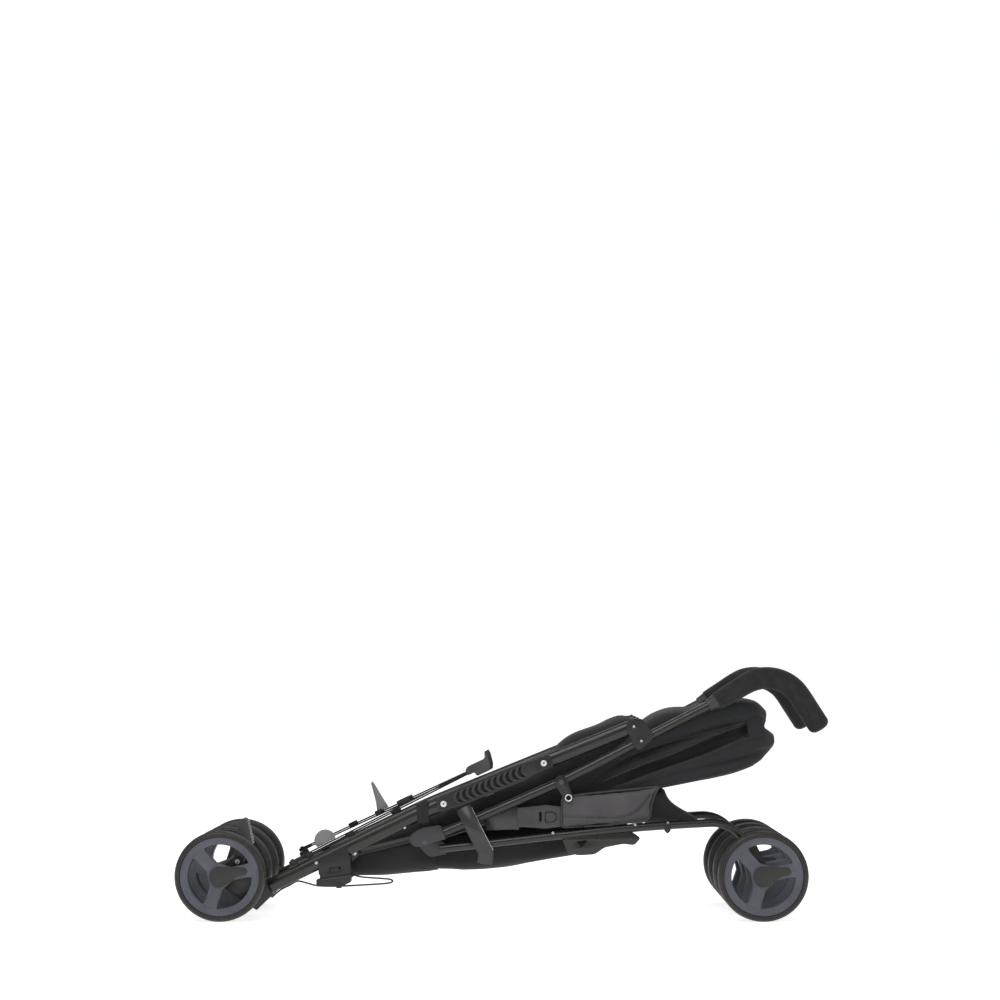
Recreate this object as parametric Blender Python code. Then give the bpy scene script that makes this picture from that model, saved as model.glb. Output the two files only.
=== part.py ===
# Umbrella-fold buggy, folded and lying level on its eight wheels
# Row frame: +X towards the handles, +Y away from the viewer, +Z up, origin under the middle

import math

import bmesh
import bpy
from mathutils import Matrix, Vector

MM = 0.001

# Gaps between pieces that touch or turn on each other
SEAT_GAP = 0.4 * MM
PIN_GAP = 0.4 * MM

# Wheels
WHEEL_DIAMETER = 152 * MM
WHEEL_SIDES = 24
TYRE_WIDTH = 26 * MM
TREAD_WIDTH = 14 * MM
TYRE_DEPTH = 12.5 * MM
RIM_WIDTH = 18 * MM
RIM_BAND = 13 * MM
SPOKE_COUNT = 3
SPOKE_WIDTH = 20 * MM
FIRST_SPOKE_ANGLE = 15
HUB_DIAMETER = 33 * MM
AXLE_DIAMETER = 6 * MM
TWIN_SPACING = 82 * MM
FOLDED_WHEELBASE = 901.2 * MM
REAR_AXLE_X = -468.9 * MM

# Frame tubes
FRAME_HALF_WIDTH = 84 * MM
TUBE_WALL = 1.5 * MM
REAR_LEG_DEPTH = 24 * MM
REAR_LEG_WIDTH = 16 * MM
HANDLE_TUBE_DIAMETER = 16 * MM
FRONT_LEG_DIAMETER = 14 * MM

# Rear leg, from the rear housing up to the fold pivot
FOOT_AHEAD = 77.1 * MM
FOOT_BELOW = 20.9 * MM
REAR_LOWER_LENGTH = 283 * MM
REAR_LOWER_ANGLE = 25.9
REAR_UPPER_LENGTH = 385 * MM
REAR_UPPER_ANGLE = 22.1
REAR_LEG_PAST_PIVOT = 13 * MM

# Handle tube, from the knee up to the grip
KNEE_TO_ELBOW = 250 * MM
KNEE_TO_ELBOW_ANGLE = 23.6
ELBOW_TO_GRIP = 294.7 * MM
ELBOW_TO_GRIP_ANGLE = 27.3
ELBOW_TO_PIVOT = 150.8 * MM
PIVOT_RISE = 27 * MM
HANDLE_TUBE_START = 35 * MM

# Foam grip
GRIP_RISE_LENGTH = 58 * MM
GRIP_RISE_ANGLE = 31
GRIP_BEND_RADIUS = 66 * MM
GRIP_FALL_ANGLE = 57
GRIP_FALL_LENGTH = 56 * MM
GRIP_START_DIAMETER = 30 * MM
GRIP_DIAMETER = 37 * MM
GRIP_COLLAR_LENGTH = 14 * MM
GRIP_COLLAR_DIAMETER = 24 * MM

# Front leg, from the knee to the caster
FRONT_START_AHEAD = 33 * MM
FRONT_START_BELOW = 12 * MM
FRONT_LEG_BOW = 4 * MM
FRONT_BEND_RADIUS = 62 * MM
FRONT_BEND_START_ANGLE = 5
SWIVEL_ANGLE = -50
SWIVEL_REACH = 57.8 * MM
SWIVEL_TRAIL = 15.1 * MM
SWIVEL_STRAIGHT = 12 * MM
FORK_HALF_WIDTH = 18 * MM
FORK_AXLE_RADIUS = 15 * MM

# Pivots and plates
PIVOT_PIN_DIAMETER = 6 * MM
PLATE_THICKNESS = 5 * MM
KNEE_PLATE_THICKNESS = 9.5 * MM
HUB_THICKNESS = 9.5 * MM
LINK_THICKNESS = 4 * MM
STAY_THICKNESS = 7 * MM
STAY_DEPTH = 12 * MM
STAY_PIVOT_ALONG = 150.8 * MM
STAY_PIVOT_DROP = 12.7 * MM
STAY_LENGTH = 229 * MM
STAY_ANGLE = 14

# Crossed brace over the rear legs
BRACE_LENGTH = 385 * MM
BRACE_ALONG = 52 * MM
BRACE_WIDTH = 12 * MM
BRACE_THICKNESS = 6 * MM
BRACE_NEAR_HEIGHT = 16.4 * MM
BRACE_STACK = BRACE_THICKNESS + SEAT_GAP
BRACE_PIN_DIAMETER = 6 * MM

# Brake
PEDAL_PIVOT_AHEAD = 24.9 * MM
PEDAL_PIVOT_ABOVE = 21.6 * MM
PEDAL_ROOT_RADIUS = 8 * MM
PEDAL_HALF_WIDTH = 13.6 * MM
PEDAL_HEIGHT = 73 * MM
EAR_THICKNESS = 4 * MM
CABLE_DIAMETER = 3 * MM

# Carry handle and storage latch
CARRY_START = 30 * MM
CARRY_LENGTH = 206 * MM
CARRY_GRIP_DEPTH = 29 * MM
CARRY_END_DEPTH = 22 * MM
CARRY_THICKNESS = 8 * MM
CARRY_SLOTS = 9
LATCH_WIDTH = 25 * MM
LATCH_THICKNESS = 2.5 * MM

# Soft pieces
SEAT_HALF_WIDTH = 60 * MM
CANOPY_HALF_WIDTH = 70 * MM
FABRIC_RING = 20
HEM_THICKNESS = 4 * MM
PAD_THICKNESS = 10 * MM
BUCKLE_THICKNESS = 7 * MM

NEAR = -1
FAR = 1


def heading(angle):
    """Unit vector in the side plane at an angle in degrees above +X."""
    return Vector((math.cos(math.radians(angle)), math.sin(math.radians(angle))))


def across(direction):
    """The side-plane vector a quarter turn anticlockwise from a direction."""
    return Vector((-direction.y, direction.x))


class Run:
    """A straight stretch in the side plane, with places measured along it and square to it."""

    def __init__(self, start, end):
        self.start = Vector(start)
        self.end = Vector(end)
        self.length = (self.end - self.start).length
        self.along = (self.end - self.start).normalized()
        self.up = across(self.along)

    def at(self, distance, lift=0.0):
        return self.start + self.along * distance + self.up * lift


# Joint points in the side plane, as (x, z)
axle_height = WHEEL_DIAMETER / 2 * math.cos(math.pi / WHEEL_SIDES)
rear_axle = Vector((REAR_AXLE_X, axle_height))
front_axle = Vector((REAR_AXLE_X + FOLDED_WHEELBASE, axle_height))
rear_foot = rear_axle + Vector((FOOT_AHEAD, -FOOT_BELOW))
rear_bend = rear_foot + heading(REAR_LOWER_ANGLE) * REAR_LOWER_LENGTH
fold_pivot = rear_bend + heading(REAR_UPPER_ANGLE) * REAR_UPPER_LENGTH
rear_low = Run(rear_foot, rear_bend)
rear_high = Run(rear_bend, fold_pivot)

handle_direction = heading(ELBOW_TO_GRIP_ANGLE)
elbow = fold_pivot - handle_direction * ELBOW_TO_PIVOT - across(handle_direction) * PIVOT_RISE
knee = elbow - heading(KNEE_TO_ELBOW_ANGLE) * KNEE_TO_ELBOW
grip_start = elbow + handle_direction * ELBOW_TO_GRIP
handle_low = Run(knee, elbow)
handle_high = Run(elbow, grip_start)
plate_pin = handle_high.at(ELBOW_TO_PIVOT)

front_start = knee + Vector((FRONT_START_AHEAD, -FRONT_START_BELOW))
swivel_axis = heading(SWIVEL_ANGLE)
swivel_top = front_axle - swivel_axis * SWIVEL_REACH + across(swivel_axis) * SWIVEL_TRAIL
front_bend_end = swivel_top - swivel_axis * SWIVEL_STRAIGHT
front_bend_start = front_bend_end - FRONT_BEND_RADIUS * Vector((
    math.sin(math.radians(FRONT_BEND_START_ANGLE)) - math.sin(math.radians(SWIVEL_ANGLE)),
    math.cos(math.radians(SWIVEL_ANGLE)) - math.cos(math.radians(FRONT_BEND_START_ANGLE)),
))
front_run = Run(front_start, front_bend_start)

stay_pivot = rear_low.at(STAY_PIVOT_ALONG, -STAY_PIVOT_DROP)
stay_end = stay_pivot + heading(STAY_ANGLE) * STAY_LENGTH
pedal_pivot = rear_axle + Vector((PEDAL_PIVOT_AHEAD, PEDAL_PIVOT_ABOVE))

# Layers outwards from the frame plane
tube_face = REAR_LEG_WIDTH / 2
plate_face = tube_face + SEAT_GAP
hub_outer = -SEAT_GAP / 2
hub_inner = hub_outer - HUB_THICKNESS
link_outer = hub_inner - SEAT_GAP
link_inner = link_outer - LINK_THICKNESS
stay_outer = link_inner - SEAT_GAP
stay_inner = stay_outer - STAY_THICKNESS


def clear_scene():
    for item in list(bpy.data.objects):
        bpy.data.objects.remove(item, do_unlink=True)


def finish_of(name, colour, roughness, metallic=0.0):
    """A plain surface finish with the colour seen on the piece."""
    finish = bpy.data.materials.get(name) or bpy.data.materials.new(name)
    finish.use_nodes = True
    shader = finish.node_tree.nodes["Principled BSDF"]
    shader.inputs["Base Color"].default_value = (*colour, 1.0)
    shader.inputs["Roughness"].default_value = roughness
    shader.inputs["Metallic"].default_value = metallic
    finish.diffuse_color = (*colour, 1.0)
    return finish


def black_tube():
    return finish_of("black_tube", (0.022, 0.021, 0.020), 0.35, 0.4)


def black_moulding():
    return finish_of("black_moulding", (0.030, 0.030, 0.032), 0.5)


def grey_moulding():
    return finish_of("grey_moulding", (0.060, 0.060, 0.066), 0.5)


def pale_moulding():
    return finish_of("pale_moulding", (0.26, 0.26, 0.265), 0.5)


def rim_moulding():
    return finish_of("rim_moulding", (0.110, 0.115, 0.135), 0.5)


def tyre_rubber():
    return finish_of("tyre_rubber", (0.043, 0.040, 0.037), 0.8)


def bright_steel():
    return finish_of("bright_steel", (0.60, 0.60, 0.60), 0.3, 1.0)


def grip_foam():
    return finish_of("grip_foam", (0.016, 0.016, 0.017), 0.9)


def black_fabric():
    return finish_of("black_fabric", (0.026, 0.026, 0.028), 0.9)


def grey_webbing():
    return finish_of("grey_webbing", (0.095, 0.090, 0.095), 0.7)


def new_object(name, bm, finish, smooth_angle=40):
    """Turns a closed mesh into an object with outward faces and its own finish."""
    bmesh.ops.remove_doubles(bm, verts=bm.verts, dist=1e-6)
    bmesh.ops.recalc_face_normals(bm, faces=bm.faces)
    mesh = bpy.data.meshes.new(name)
    bm.to_mesh(mesh)
    bm.free()
    mesh.materials.append(finish)
    mesh.shade_smooth()
    mesh.set_sharp_from_angle(angle=math.radians(smooth_angle))
    item = bpy.data.objects.new(name, mesh)
    bpy.context.scene.collection.objects.link(item)
    return item


def combine(item, tool, operation):
    """Joins or cuts one object with another, and removes the tool object."""
    change = item.modifiers.new("change", "BOOLEAN")
    change.operation = operation
    change.solver = "EXACT"
    change.object = tool
    bpy.context.view_layer.update()
    evaluated = item.evaluated_get(bpy.context.evaluated_depsgraph_get())
    mesh = bpy.data.meshes.new_from_object(evaluated)
    item.modifiers.remove(change)
    item.data = mesh
    mesh.set_sharp_from_angle(angle=math.radians(40))
    bpy.data.objects.remove(tool, do_unlink=True)
    return item


def join(item, *tools):
    for tool in tools:
        combine(item, tool, "UNION")
    return item


def cut(item, *tools):
    for tool in tools:
        combine(item, tool, "DIFFERENCE")
    return item


def row_y(side, out):
    """Row Y of a place measured outwards from one side's frame plane."""
    return side * (FRAME_HALF_WIDTH + out)


def circle(centre, radius, steps=16, start=0.0):
    centre = Vector(centre)
    return [centre + radius * heading(start + 360 * i / steps) for i in range(steps)]


def hull(*groups):
    """Convex outline round several groups of side-plane points."""
    points = sorted({(round(p[0], 7), round(p[1], 7)) for group in groups for p in group})
    outline = []
    for pass_points in (points, points[::-1]):
        chain = []
        for p in pass_points:
            while len(chain) > 1 and turn_of(chain[-2], chain[-1], p) <= 0:
                chain.pop()
            chain.append(p)
        outline += chain[:-1]
    return outline


def turn_of(a, b, c):
    return (b[0] - a[0]) * (c[1] - a[1]) - (b[1] - a[1]) * (c[0] - a[0])


def slab(name, outline, low, high, finish, holes=(), place=None):
    """A plate with straight-through holes: side-plane outlines extruded between two values of Y."""
    bm = bmesh.new()
    edges = []
    for loop in (outline, *holes):
        ring = [bm.verts.new((p[0], low, p[1])) for p in loop]
        edges += [bm.edges.new((ring[i - 1], ring[i])) for i in range(len(ring))]
    bmesh.ops.triangle_fill(bm, use_beauty=True, use_dissolve=False, edges=edges)
    faces = list(bm.faces)
    moved = bmesh.ops.extrude_face_region(bm, geom=faces, use_keep_orig=True)
    tops = [v for v in moved["geom"] if isinstance(v, bmesh.types.BMVert)]
    bmesh.ops.translate(bm, verts=tops, vec=(0, high - low, 0))
    if place:
        bmesh.ops.transform(bm, matrix=place, verts=bm.verts)
    return new_object(name, bm, finish)


def side_slab(name, side, outline, inner, outer, finish, holes=()):
    """A slab on one side of the buggy, between two distances out from its frame plane."""
    ends = sorted((row_y(side, inner), row_y(side, outer)))
    return slab(name, outline, ends[0], ends[1], finish, holes)


def cross_pin(name, side, centre, radius, inner, outer, finish, steps=12):
    return side_slab(name, side, circle(centre, radius, steps), inner, outer, finish)


def path_frames(points):
    """Tangent directions along a path, each the mean of its two neighbours."""
    frames = []
    for i, point in enumerate(points):
        before = points[max(i - 1, 0)]
        after = points[min(i + 1, len(points) - 1)]
        frames.append((after - before).normalized())
    return frames


def sweep(name, points, widths, heights, finish, steps=10, wall=0.0, side_vector=(0, 1, 0)):
    """An oval tube along a path, open at both ends where it has a wall."""
    bm = bmesh.new()
    points = [Vector(p) for p in points]
    lateral = Vector(side_vector)
    tangents = path_frames(points)
    shells = []
    for inset in ([0.0, wall] if wall else [0.0]):
        rings = []
        for i, point in enumerate(points):
            up = tangents[i].cross(lateral).normalized()
            flat = up.cross(tangents[i]).normalized()
            ring = []
            for k in range(steps):
                turn = 2 * math.pi * (k + 0.5) / steps
                offset = flat * (widths[i] / 2 - inset) * math.cos(turn)
                offset += up * (heights[i] / 2 - inset) * math.sin(turn)
                ring.append(bm.verts.new(point + offset))
            rings.append(ring)
        shells.append(rings)
        for a, b in zip(rings, rings[1:]):
            for k in range(steps):
                bm.faces.new((a[k - 1], a[k], b[k], b[k - 1]))
    for end in (0, -1):
        if wall:
            outer = shells[0][end]
            inner = shells[1][end]
            for k in range(steps):
                bm.faces.new((outer[k - 1], outer[k], inner[k], inner[k - 1]))
        else:
            bm.faces.new(shells[0][end])
    return new_object(name, bm, finish)


def side_path(side, points, out=0.0):
    return [Vector((p[0], row_y(side, out), p[1])) for p in points]


def even_sweep(name, points, width, height, finish, **options):
    return sweep(name, points, [width] * len(points), [height] * len(points), finish, **options)


def arc_down(start, start_angle, end_angle, radius, steps):
    """Points of an arc in the side plane that turns clockwise from one heading to another."""
    centre = Vector(start) - across(heading(start_angle)) * radius
    angles = [start_angle + (end_angle - start_angle) * i / steps for i in range(steps + 1)]
    return [centre + across(heading(a)) * radius for a in angles]


def turned(name, profile, centre, finish, steps):
    """A ring turned round a wheel's axis from (y, radius) corners, with a flat at the bottom."""
    bm = bmesh.new()
    rings = []
    for i in range(steps):
        spoke = heading(-90 + 360 * (i + 0.5) / steps)
        rings.append([
            bm.verts.new((centre[0] + spoke.x * r, centre[1] + y, centre[2] + spoke.y * r))
            for y, r in profile
        ])
    for i in range(steps):
        for k in range(len(profile)):
            bm.faces.new((rings[i - 1][k - 1], rings[i - 1][k], rings[i][k], rings[i][k - 1]))
    return new_object(name, bm, finish)


def fabric_bundle(name, run, stations, finish, folds=0, fold_depth=0.0, drop=0.0):
    """Folded cloth lofted along a run: each station is (along, low, high, half width)."""
    bm = bmesh.new()
    rings = []
    for i, (along, low, high, half_width) in enumerate(stations):
        middle = (low + high) / 2
        half_height = (high - low) / 2
        ring = []
        for k in range(FABRIC_RING):
            turn = 2 * math.pi * k / FABRIC_RING
            swell = 1.0 - fold_depth * (0.5 - 0.5 * math.cos(folds * turn + drop * i))
            cosine = math.cos(turn)
            sine = math.sin(turn)
            y = half_width * math.copysign(abs(cosine) ** 0.6, cosine) * swell
            h = middle + half_height * math.copysign(abs(sine) ** 0.6, sine) * swell
            spot = run.at(along, h)
            ring.append(bm.verts.new((spot.x, y, spot.y)))
        rings.append(ring)
    for a, b in zip(rings, rings[1:]):
        for k in range(FABRIC_RING):
            bm.faces.new((a[k - 1], a[k], b[k], b[k - 1]))
    for ring in (rings[0], rings[-1]):
        bm.faces.new(ring)
    bmesh.ops.triangulate(bm, faces=bm.faces)
    return new_object(name, bm, finish, smooth_angle=70)


def sew_hem(item, run, start, end, half_width):
    """Adds the sewn edge that reaches the tubes on both sides, along part of a run."""
    half = HEM_THICKNESS / 2
    outline = [run.at(start, -half), run.at(end, -half), run.at(end, half), run.at(start, half)]
    return join(item, slab("hem", outline, -half_width, half_width, black_fabric()))


def pivot_at(name, place):
    """An empty on a joint's axis, which carries the pieces that turn or slide there."""
    empty = bpy.data.objects.new(name, None)
    empty.empty_display_size = 0.02
    empty.location = place
    bpy.context.scene.collection.objects.link(empty)
    return empty


def carry(empty, *items):
    """Moves each piece's origin to the joint and parents it to the joint's empty."""
    for item in items:
        item.data.transform(Matrix.Translation(-empty.location) @ item.matrix_basis)
        item.matrix_basis = Matrix.Identity(4)
        item.parent = empty


def side_name(side):
    return "near" if side == NEAR else "far"


def joint_spot(side, point, out=0.0):
    return Vector((point[0], row_y(side, out), point[1]))


def grip_path():
    """Centreline of the foam grip: a rise, a long bend and a fall."""
    rise = [grip_start + heading(GRIP_RISE_ANGLE) * GRIP_RISE_LENGTH * i / 3 for i in range(3)]
    bend = arc_down(
        grip_start + heading(GRIP_RISE_ANGLE) * GRIP_RISE_LENGTH,
        GRIP_RISE_ANGLE, -GRIP_FALL_ANGLE, GRIP_BEND_RADIUS, 6,
    )
    fall = [bend[-1] + heading(-GRIP_FALL_ANGLE) * GRIP_FALL_LENGTH * i / 3 for i in (1, 2, 3)]
    return rise + bend + fall


def grip_core():
    """The handle tube's coarser centreline inside the grip, with the bore's end last."""
    path = grip_path()
    return [path[i] for i in (0, 3, 5, 7, 9, 10, 11)]


def make_handle_tube(side):
    start = handle_low.at(HANDLE_TUBE_START)
    below_elbow = handle_low.at(KNEE_TO_ELBOW - 20 * MM)
    above_elbow = handle_high.at(20 * MM)
    path = [start, below_elbow, above_elbow, *grip_core()[:-1]]
    tube = even_sweep(
        f"handle_tube_{side_name(side)}", side_path(side, path),
        HANDLE_TUBE_DIAMETER, HANDLE_TUBE_DIAMETER, black_tube(), wall=TUBE_WALL,
    )
    radius = PIVOT_PIN_DIAMETER / 2 + PIN_GAP
    reach = tube_face + PLATE_THICKNESS
    for centre in (plate_pin, elbow):
        cut(tube, cross_pin("bore", side, centre, radius, -reach, reach, black_tube()))
    return tube


def make_grip(side):
    """Foam grip with a blind bore over the handle tube and a moulded collar at its start."""
    path = grip_path()
    count = len(path)
    bore = HANDLE_TUBE_DIAMETER + 2 * SEAT_GAP
    sizes = []
    for i in range(count):
        share = min(1.0, i / 4)
        sizes.append(GRIP_START_DIAMETER + (GRIP_DIAMETER - GRIP_START_DIAMETER) * share)
    tip = path[-1] + heading(-GRIP_FALL_ANGLE) * GRIP_DIAMETER / 5
    grip = sweep(
        f"grip_{side_name(side)}", side_path(side, path + [tip]),
        sizes + [GRIP_DIAMETER * 0.62], sizes + [GRIP_DIAMETER * 0.62], grip_foam(), steps=12,
    )
    collar_start = grip_start - handle_direction * GRIP_COLLAR_LENGTH
    collar_path = side_path(side, [collar_start, grip_start + handle_direction * 2 * MM])
    join(grip, even_sweep("collar", collar_path, GRIP_COLLAR_DIAMETER, GRIP_COLLAR_DIAMETER, grip_foam()))
    bore_path = [collar_start - handle_direction * 5 * MM, *grip_core()]
    cut(grip, even_sweep("bore", side_path(side, bore_path), bore, bore, grip_foam()))
    return grip


def make_pivot_plate(side):
    """Link plate with the two pins that pass through the rear leg and the handle tube."""
    outline = hull(circle(fold_pivot, 15 * MM), circle(plate_pin + handle_direction * 4 * MM, 13 * MM))
    name = f"pivot_plate_{side_name(side)}"
    plate = side_slab(name, side, outline, plate_face, plate_face + PLATE_THICKNESS, grey_moulding())
    for centre in (fold_pivot, plate_pin):
        join(plate, cross_pin(
            "pin", side, centre, PIVOT_PIN_DIAMETER / 2, -tube_face,
            plate_face + PLATE_THICKNESS + 1 * MM, grey_moulding(),
        ))
    return plate


def make_canopy_bracket(side):
    """Elbow bracket: a rivet into the handle tube and an arm down to the canopy eyelet."""
    eyelet = elbow + Vector((11, -25.5)) * MM
    outline = hull(circle(elbow, 11 * MM), circle(eyelet, 7.5 * MM))
    bracket = side_slab(
        f"canopy_bracket_{side_name(side)}", side, outline,
        plate_face, plate_face + 4 * MM, black_moulding(), holes=[circle(eyelet, 4 * MM, 14)],
    )
    pin = cross_pin(
        "pin", side, elbow, PIVOT_PIN_DIAMETER / 2, -tube_face, plate_face + 5 * MM, black_moulding()
    )
    return join(bracket, pin)


def make_knee_plate(side):
    """Outer half of the knee hinge, with a plug in the handle tube and the hinge pin."""
    socket_start = HANDLE_TUBE_START - 11 * MM
    outline = hull(
        circle(knee + Vector((-12, 4)) * MM, 13 * MM),
        [handle_low.at(HANDLE_TUBE_START - SEAT_GAP, 14 * MM), handle_low.at(HANDLE_TUBE_START - SEAT_GAP, -10 * MM)],
        [handle_low.at(8 * MM, 22 * MM)],
    )
    plate = side_slab(
        f"knee_plate_{side_name(side)}", side, outline, -hub_outer, KNEE_PLATE_THICKNESS, grey_moulding()
    )
    socket_end = HANDLE_TUBE_START - 2 * SEAT_GAP
    block = [
        handle_low.at(socket_start, 12 * MM),
        handle_low.at(socket_end, 12 * MM),
        handle_low.at(socket_end, -9.5 * MM),
        handle_low.at(socket_start, -9.5 * MM),
    ]
    join(plate, side_slab("block", side, block, -8 * MM, 5 * MM, grey_moulding()))
    plug = HANDLE_TUBE_DIAMETER - 2 * TUBE_WALL - 4 * PIN_GAP
    plug_path = side_path(side, [handle_low.at(socket_start + 3 * MM), handle_low.at(HANDLE_TUBE_START + 20 * MM)])
    join(plate, even_sweep("plug", plug_path, plug, plug, grey_moulding()))
    join(plate, cross_pin("pin", side, knee, 4 * MM, link_inner, 5 * MM, grey_moulding()))
    return plate


def make_rear_leg(side):
    """Oval rear leg with the fold pivot's bore and the block that carries a brace bar."""
    path = [
        rear_foot, rear_low.at(REAR_LOWER_LENGTH - 30 * MM), rear_high.at(30 * MM),
        rear_high.at(REAR_UPPER_LENGTH + REAR_LEG_PAST_PIVOT),
    ]
    leg = even_sweep(
        f"rear_leg_{side_name(side)}", side_path(side, path),
        REAR_LEG_WIDTH, REAR_LEG_DEPTH, black_tube(), steps=12, wall=TUBE_WALL,
    )
    block_top = brace_height(side) - SEAT_GAP
    block_low = REAR_LEG_DEPTH / 2 - 0.8 * MM
    block = [
        rear_low.at(BRACE_ALONG - 9 * MM, block_low), rear_low.at(BRACE_ALONG + 9 * MM, block_low),
        rear_low.at(BRACE_ALONG + 9 * MM, block_top), rear_low.at(BRACE_ALONG - 9 * MM, block_top),
    ]
    join(leg, side_slab("block", side, block, -6 * MM, 6 * MM, black_tube()))
    pin_path = side_path(side, [
        rear_low.at(BRACE_ALONG, block_top - 2 * MM),
        rear_low.at(BRACE_ALONG, block_top + BRACE_THICKNESS + 2 * MM),
    ])
    join(leg, even_sweep("pin", pin_path, BRACE_PIN_DIAMETER, BRACE_PIN_DIAMETER, black_tube()))
    reach = tube_face + PLATE_THICKNESS
    radius = PIVOT_PIN_DIAMETER / 2 + PIN_GAP
    cut(leg, cross_pin("bore", side, fold_pivot, radius, -reach, reach, black_tube()))
    return leg


def make_rear_housing(side):
    """Housing between twin rear wheels: plug for the leg, axle boss and the near side's pedal ears."""
    half = FORK_HALF_WIDTH
    outline = hull(
        circle(rear_axle, 17 * MM),
        [rear_low.at(-SEAT_GAP, 15 * MM), rear_low.at(-SEAT_GAP, -15 * MM)],
        [rear_low.at(-16 * MM, -18 * MM), rear_low.at(-35 * MM, -26 * MM)],
    )
    housing = side_slab(f"rear_housing_{side_name(side)}", side, outline, -half, half, black_moulding())
    if side == NEAR:
        ear = hull(circle(pedal_pivot, 9 * MM, 16), circle(rear_axle, 13 * MM, 16), [rear_low.at(-12 * MM, 10 * MM)])
        for inner, outer in ((half - EAR_THICKNESS, half), (-half, EAR_THICKNESS - half)):
            join(housing, side_slab("ear", side, ear, inner, outer, black_moulding()))
        pin_end = half - 1 * MM
        join(housing, cross_pin("pin", side, pedal_pivot, 2.5 * MM, -pin_end, pin_end, black_moulding()))
    plug_path = side_path(side, [rear_low.at(-6 * MM), rear_low.at(24 * MM)])
    plug_width = REAR_LEG_WIDTH - 2 * TUBE_WALL - 4 * PIN_GAP
    plug_depth = REAR_LEG_DEPTH - 2 * TUBE_WALL - 4 * PIN_GAP
    join(housing, even_sweep("plug", plug_path, plug_width, plug_depth, black_moulding()))
    bore = AXLE_DIAMETER / 2 + PIN_GAP
    cut(housing, cross_pin("bore", side, rear_axle, bore, -2 * half, 2 * half, black_moulding()))
    return housing


def make_brake_pedal(side):
    """Foot pedal between the ears, standing up from its pivot."""
    tip = pedal_pivot + Vector((9, 73)) * MM * (PEDAL_HEIGHT / (73 * MM))
    outline = hull(circle(pedal_pivot, PEDAL_ROOT_RADIUS, 16), [tip, tip + Vector((6, -3)) * MM])
    outline = hull(outline, [pedal_pivot + Vector((24, 28)) * MM, pedal_pivot + Vector((18, 16)) * MM])
    return side_slab(
        f"brake_pedal_{side_name(side)}", side, outline, -PEDAL_HALF_WIDTH, PEDAL_HALF_WIDTH,
        pale_moulding(), holes=[circle(pedal_pivot, 2.5 * MM + PIN_GAP, 14)],
    )


def make_axle(name, side, centre):
    half = TWIN_SPACING / 2 + RIM_WIDTH / 2 + 2 * MM
    return cross_pin(name, side, centre, AXLE_DIAMETER / 2, -half, half, bright_steel(), steps=12)


def make_stay_bracket(side):
    """Moulded housing under the rear leg with the stay's pivot ear and the cable clip below."""
    under = -REAR_LEG_DEPTH / 2 - SEAT_GAP
    corner = rear_low.at(88 * MM, under)
    far_corner = rear_low.at(146 * MM, under)
    floor_z = corner.y - 26 * MM
    outline = [
        corner, far_corner, Vector((far_corner.x, floor_z + 17 * MM)), Vector((far_corner.x, floor_z + 6 * MM)),
        Vector((far_corner.x - 12 * MM, floor_z)), Vector((far_corner.x - 20 * MM, floor_z - 3 * MM)),
        Vector((corner.x, floor_z)),
    ]
    centre = (corner + far_corner) / 2
    window = [centre + Vector((4, -9)) * MM, centre + Vector((16, -2)) * MM, centre + Vector((14, -12)) * MM]
    bracket = side_slab(
        f"stay_bracket_{side_name(side)}", side, outline, stay_outer + SEAT_GAP, tube_face,
        black_moulding(), holes=[window],
    )
    ear = hull(circle(stay_pivot, 8 * MM), [far_corner + Vector((-14, -14)) * MM, far_corner + Vector((-1, -14)) * MM])
    ear_face = -tube_face - SEAT_GAP
    join(bracket, side_slab("ear", side, ear, stay_outer + SEAT_GAP, ear_face, black_moulding()))
    join(bracket, cross_pin("pin", side, stay_pivot, 3 * MM, stay_inner - 1 * MM, ear_face, black_moulding()))
    return bracket


def bar_outline(start, end, radius):
    return hull(circle(start, radius, 16), circle(end, radius, 16))


def make_stay_bar(side):
    return side_slab(
        f"stay_bar_{side_name(side)}", side, bar_outline(stay_pivot, stay_end, STAY_DEPTH / 2),
        stay_inner, stay_outer, black_tube(),
        holes=[circle(stay_pivot, 3 * MM + PIN_GAP, 14), circle(stay_end, 3 * MM, 14)],
    )


def make_knee_link(side):
    return side_slab(
        f"knee_link_{side_name(side)}", side, bar_outline(knee, stay_end, 7.5 * MM),
        link_inner, link_outer, black_tube(),
        holes=[circle(knee, 4 * MM + PIN_GAP, 16), circle(stay_end, 3 * MM, 14)],
    )


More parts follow.
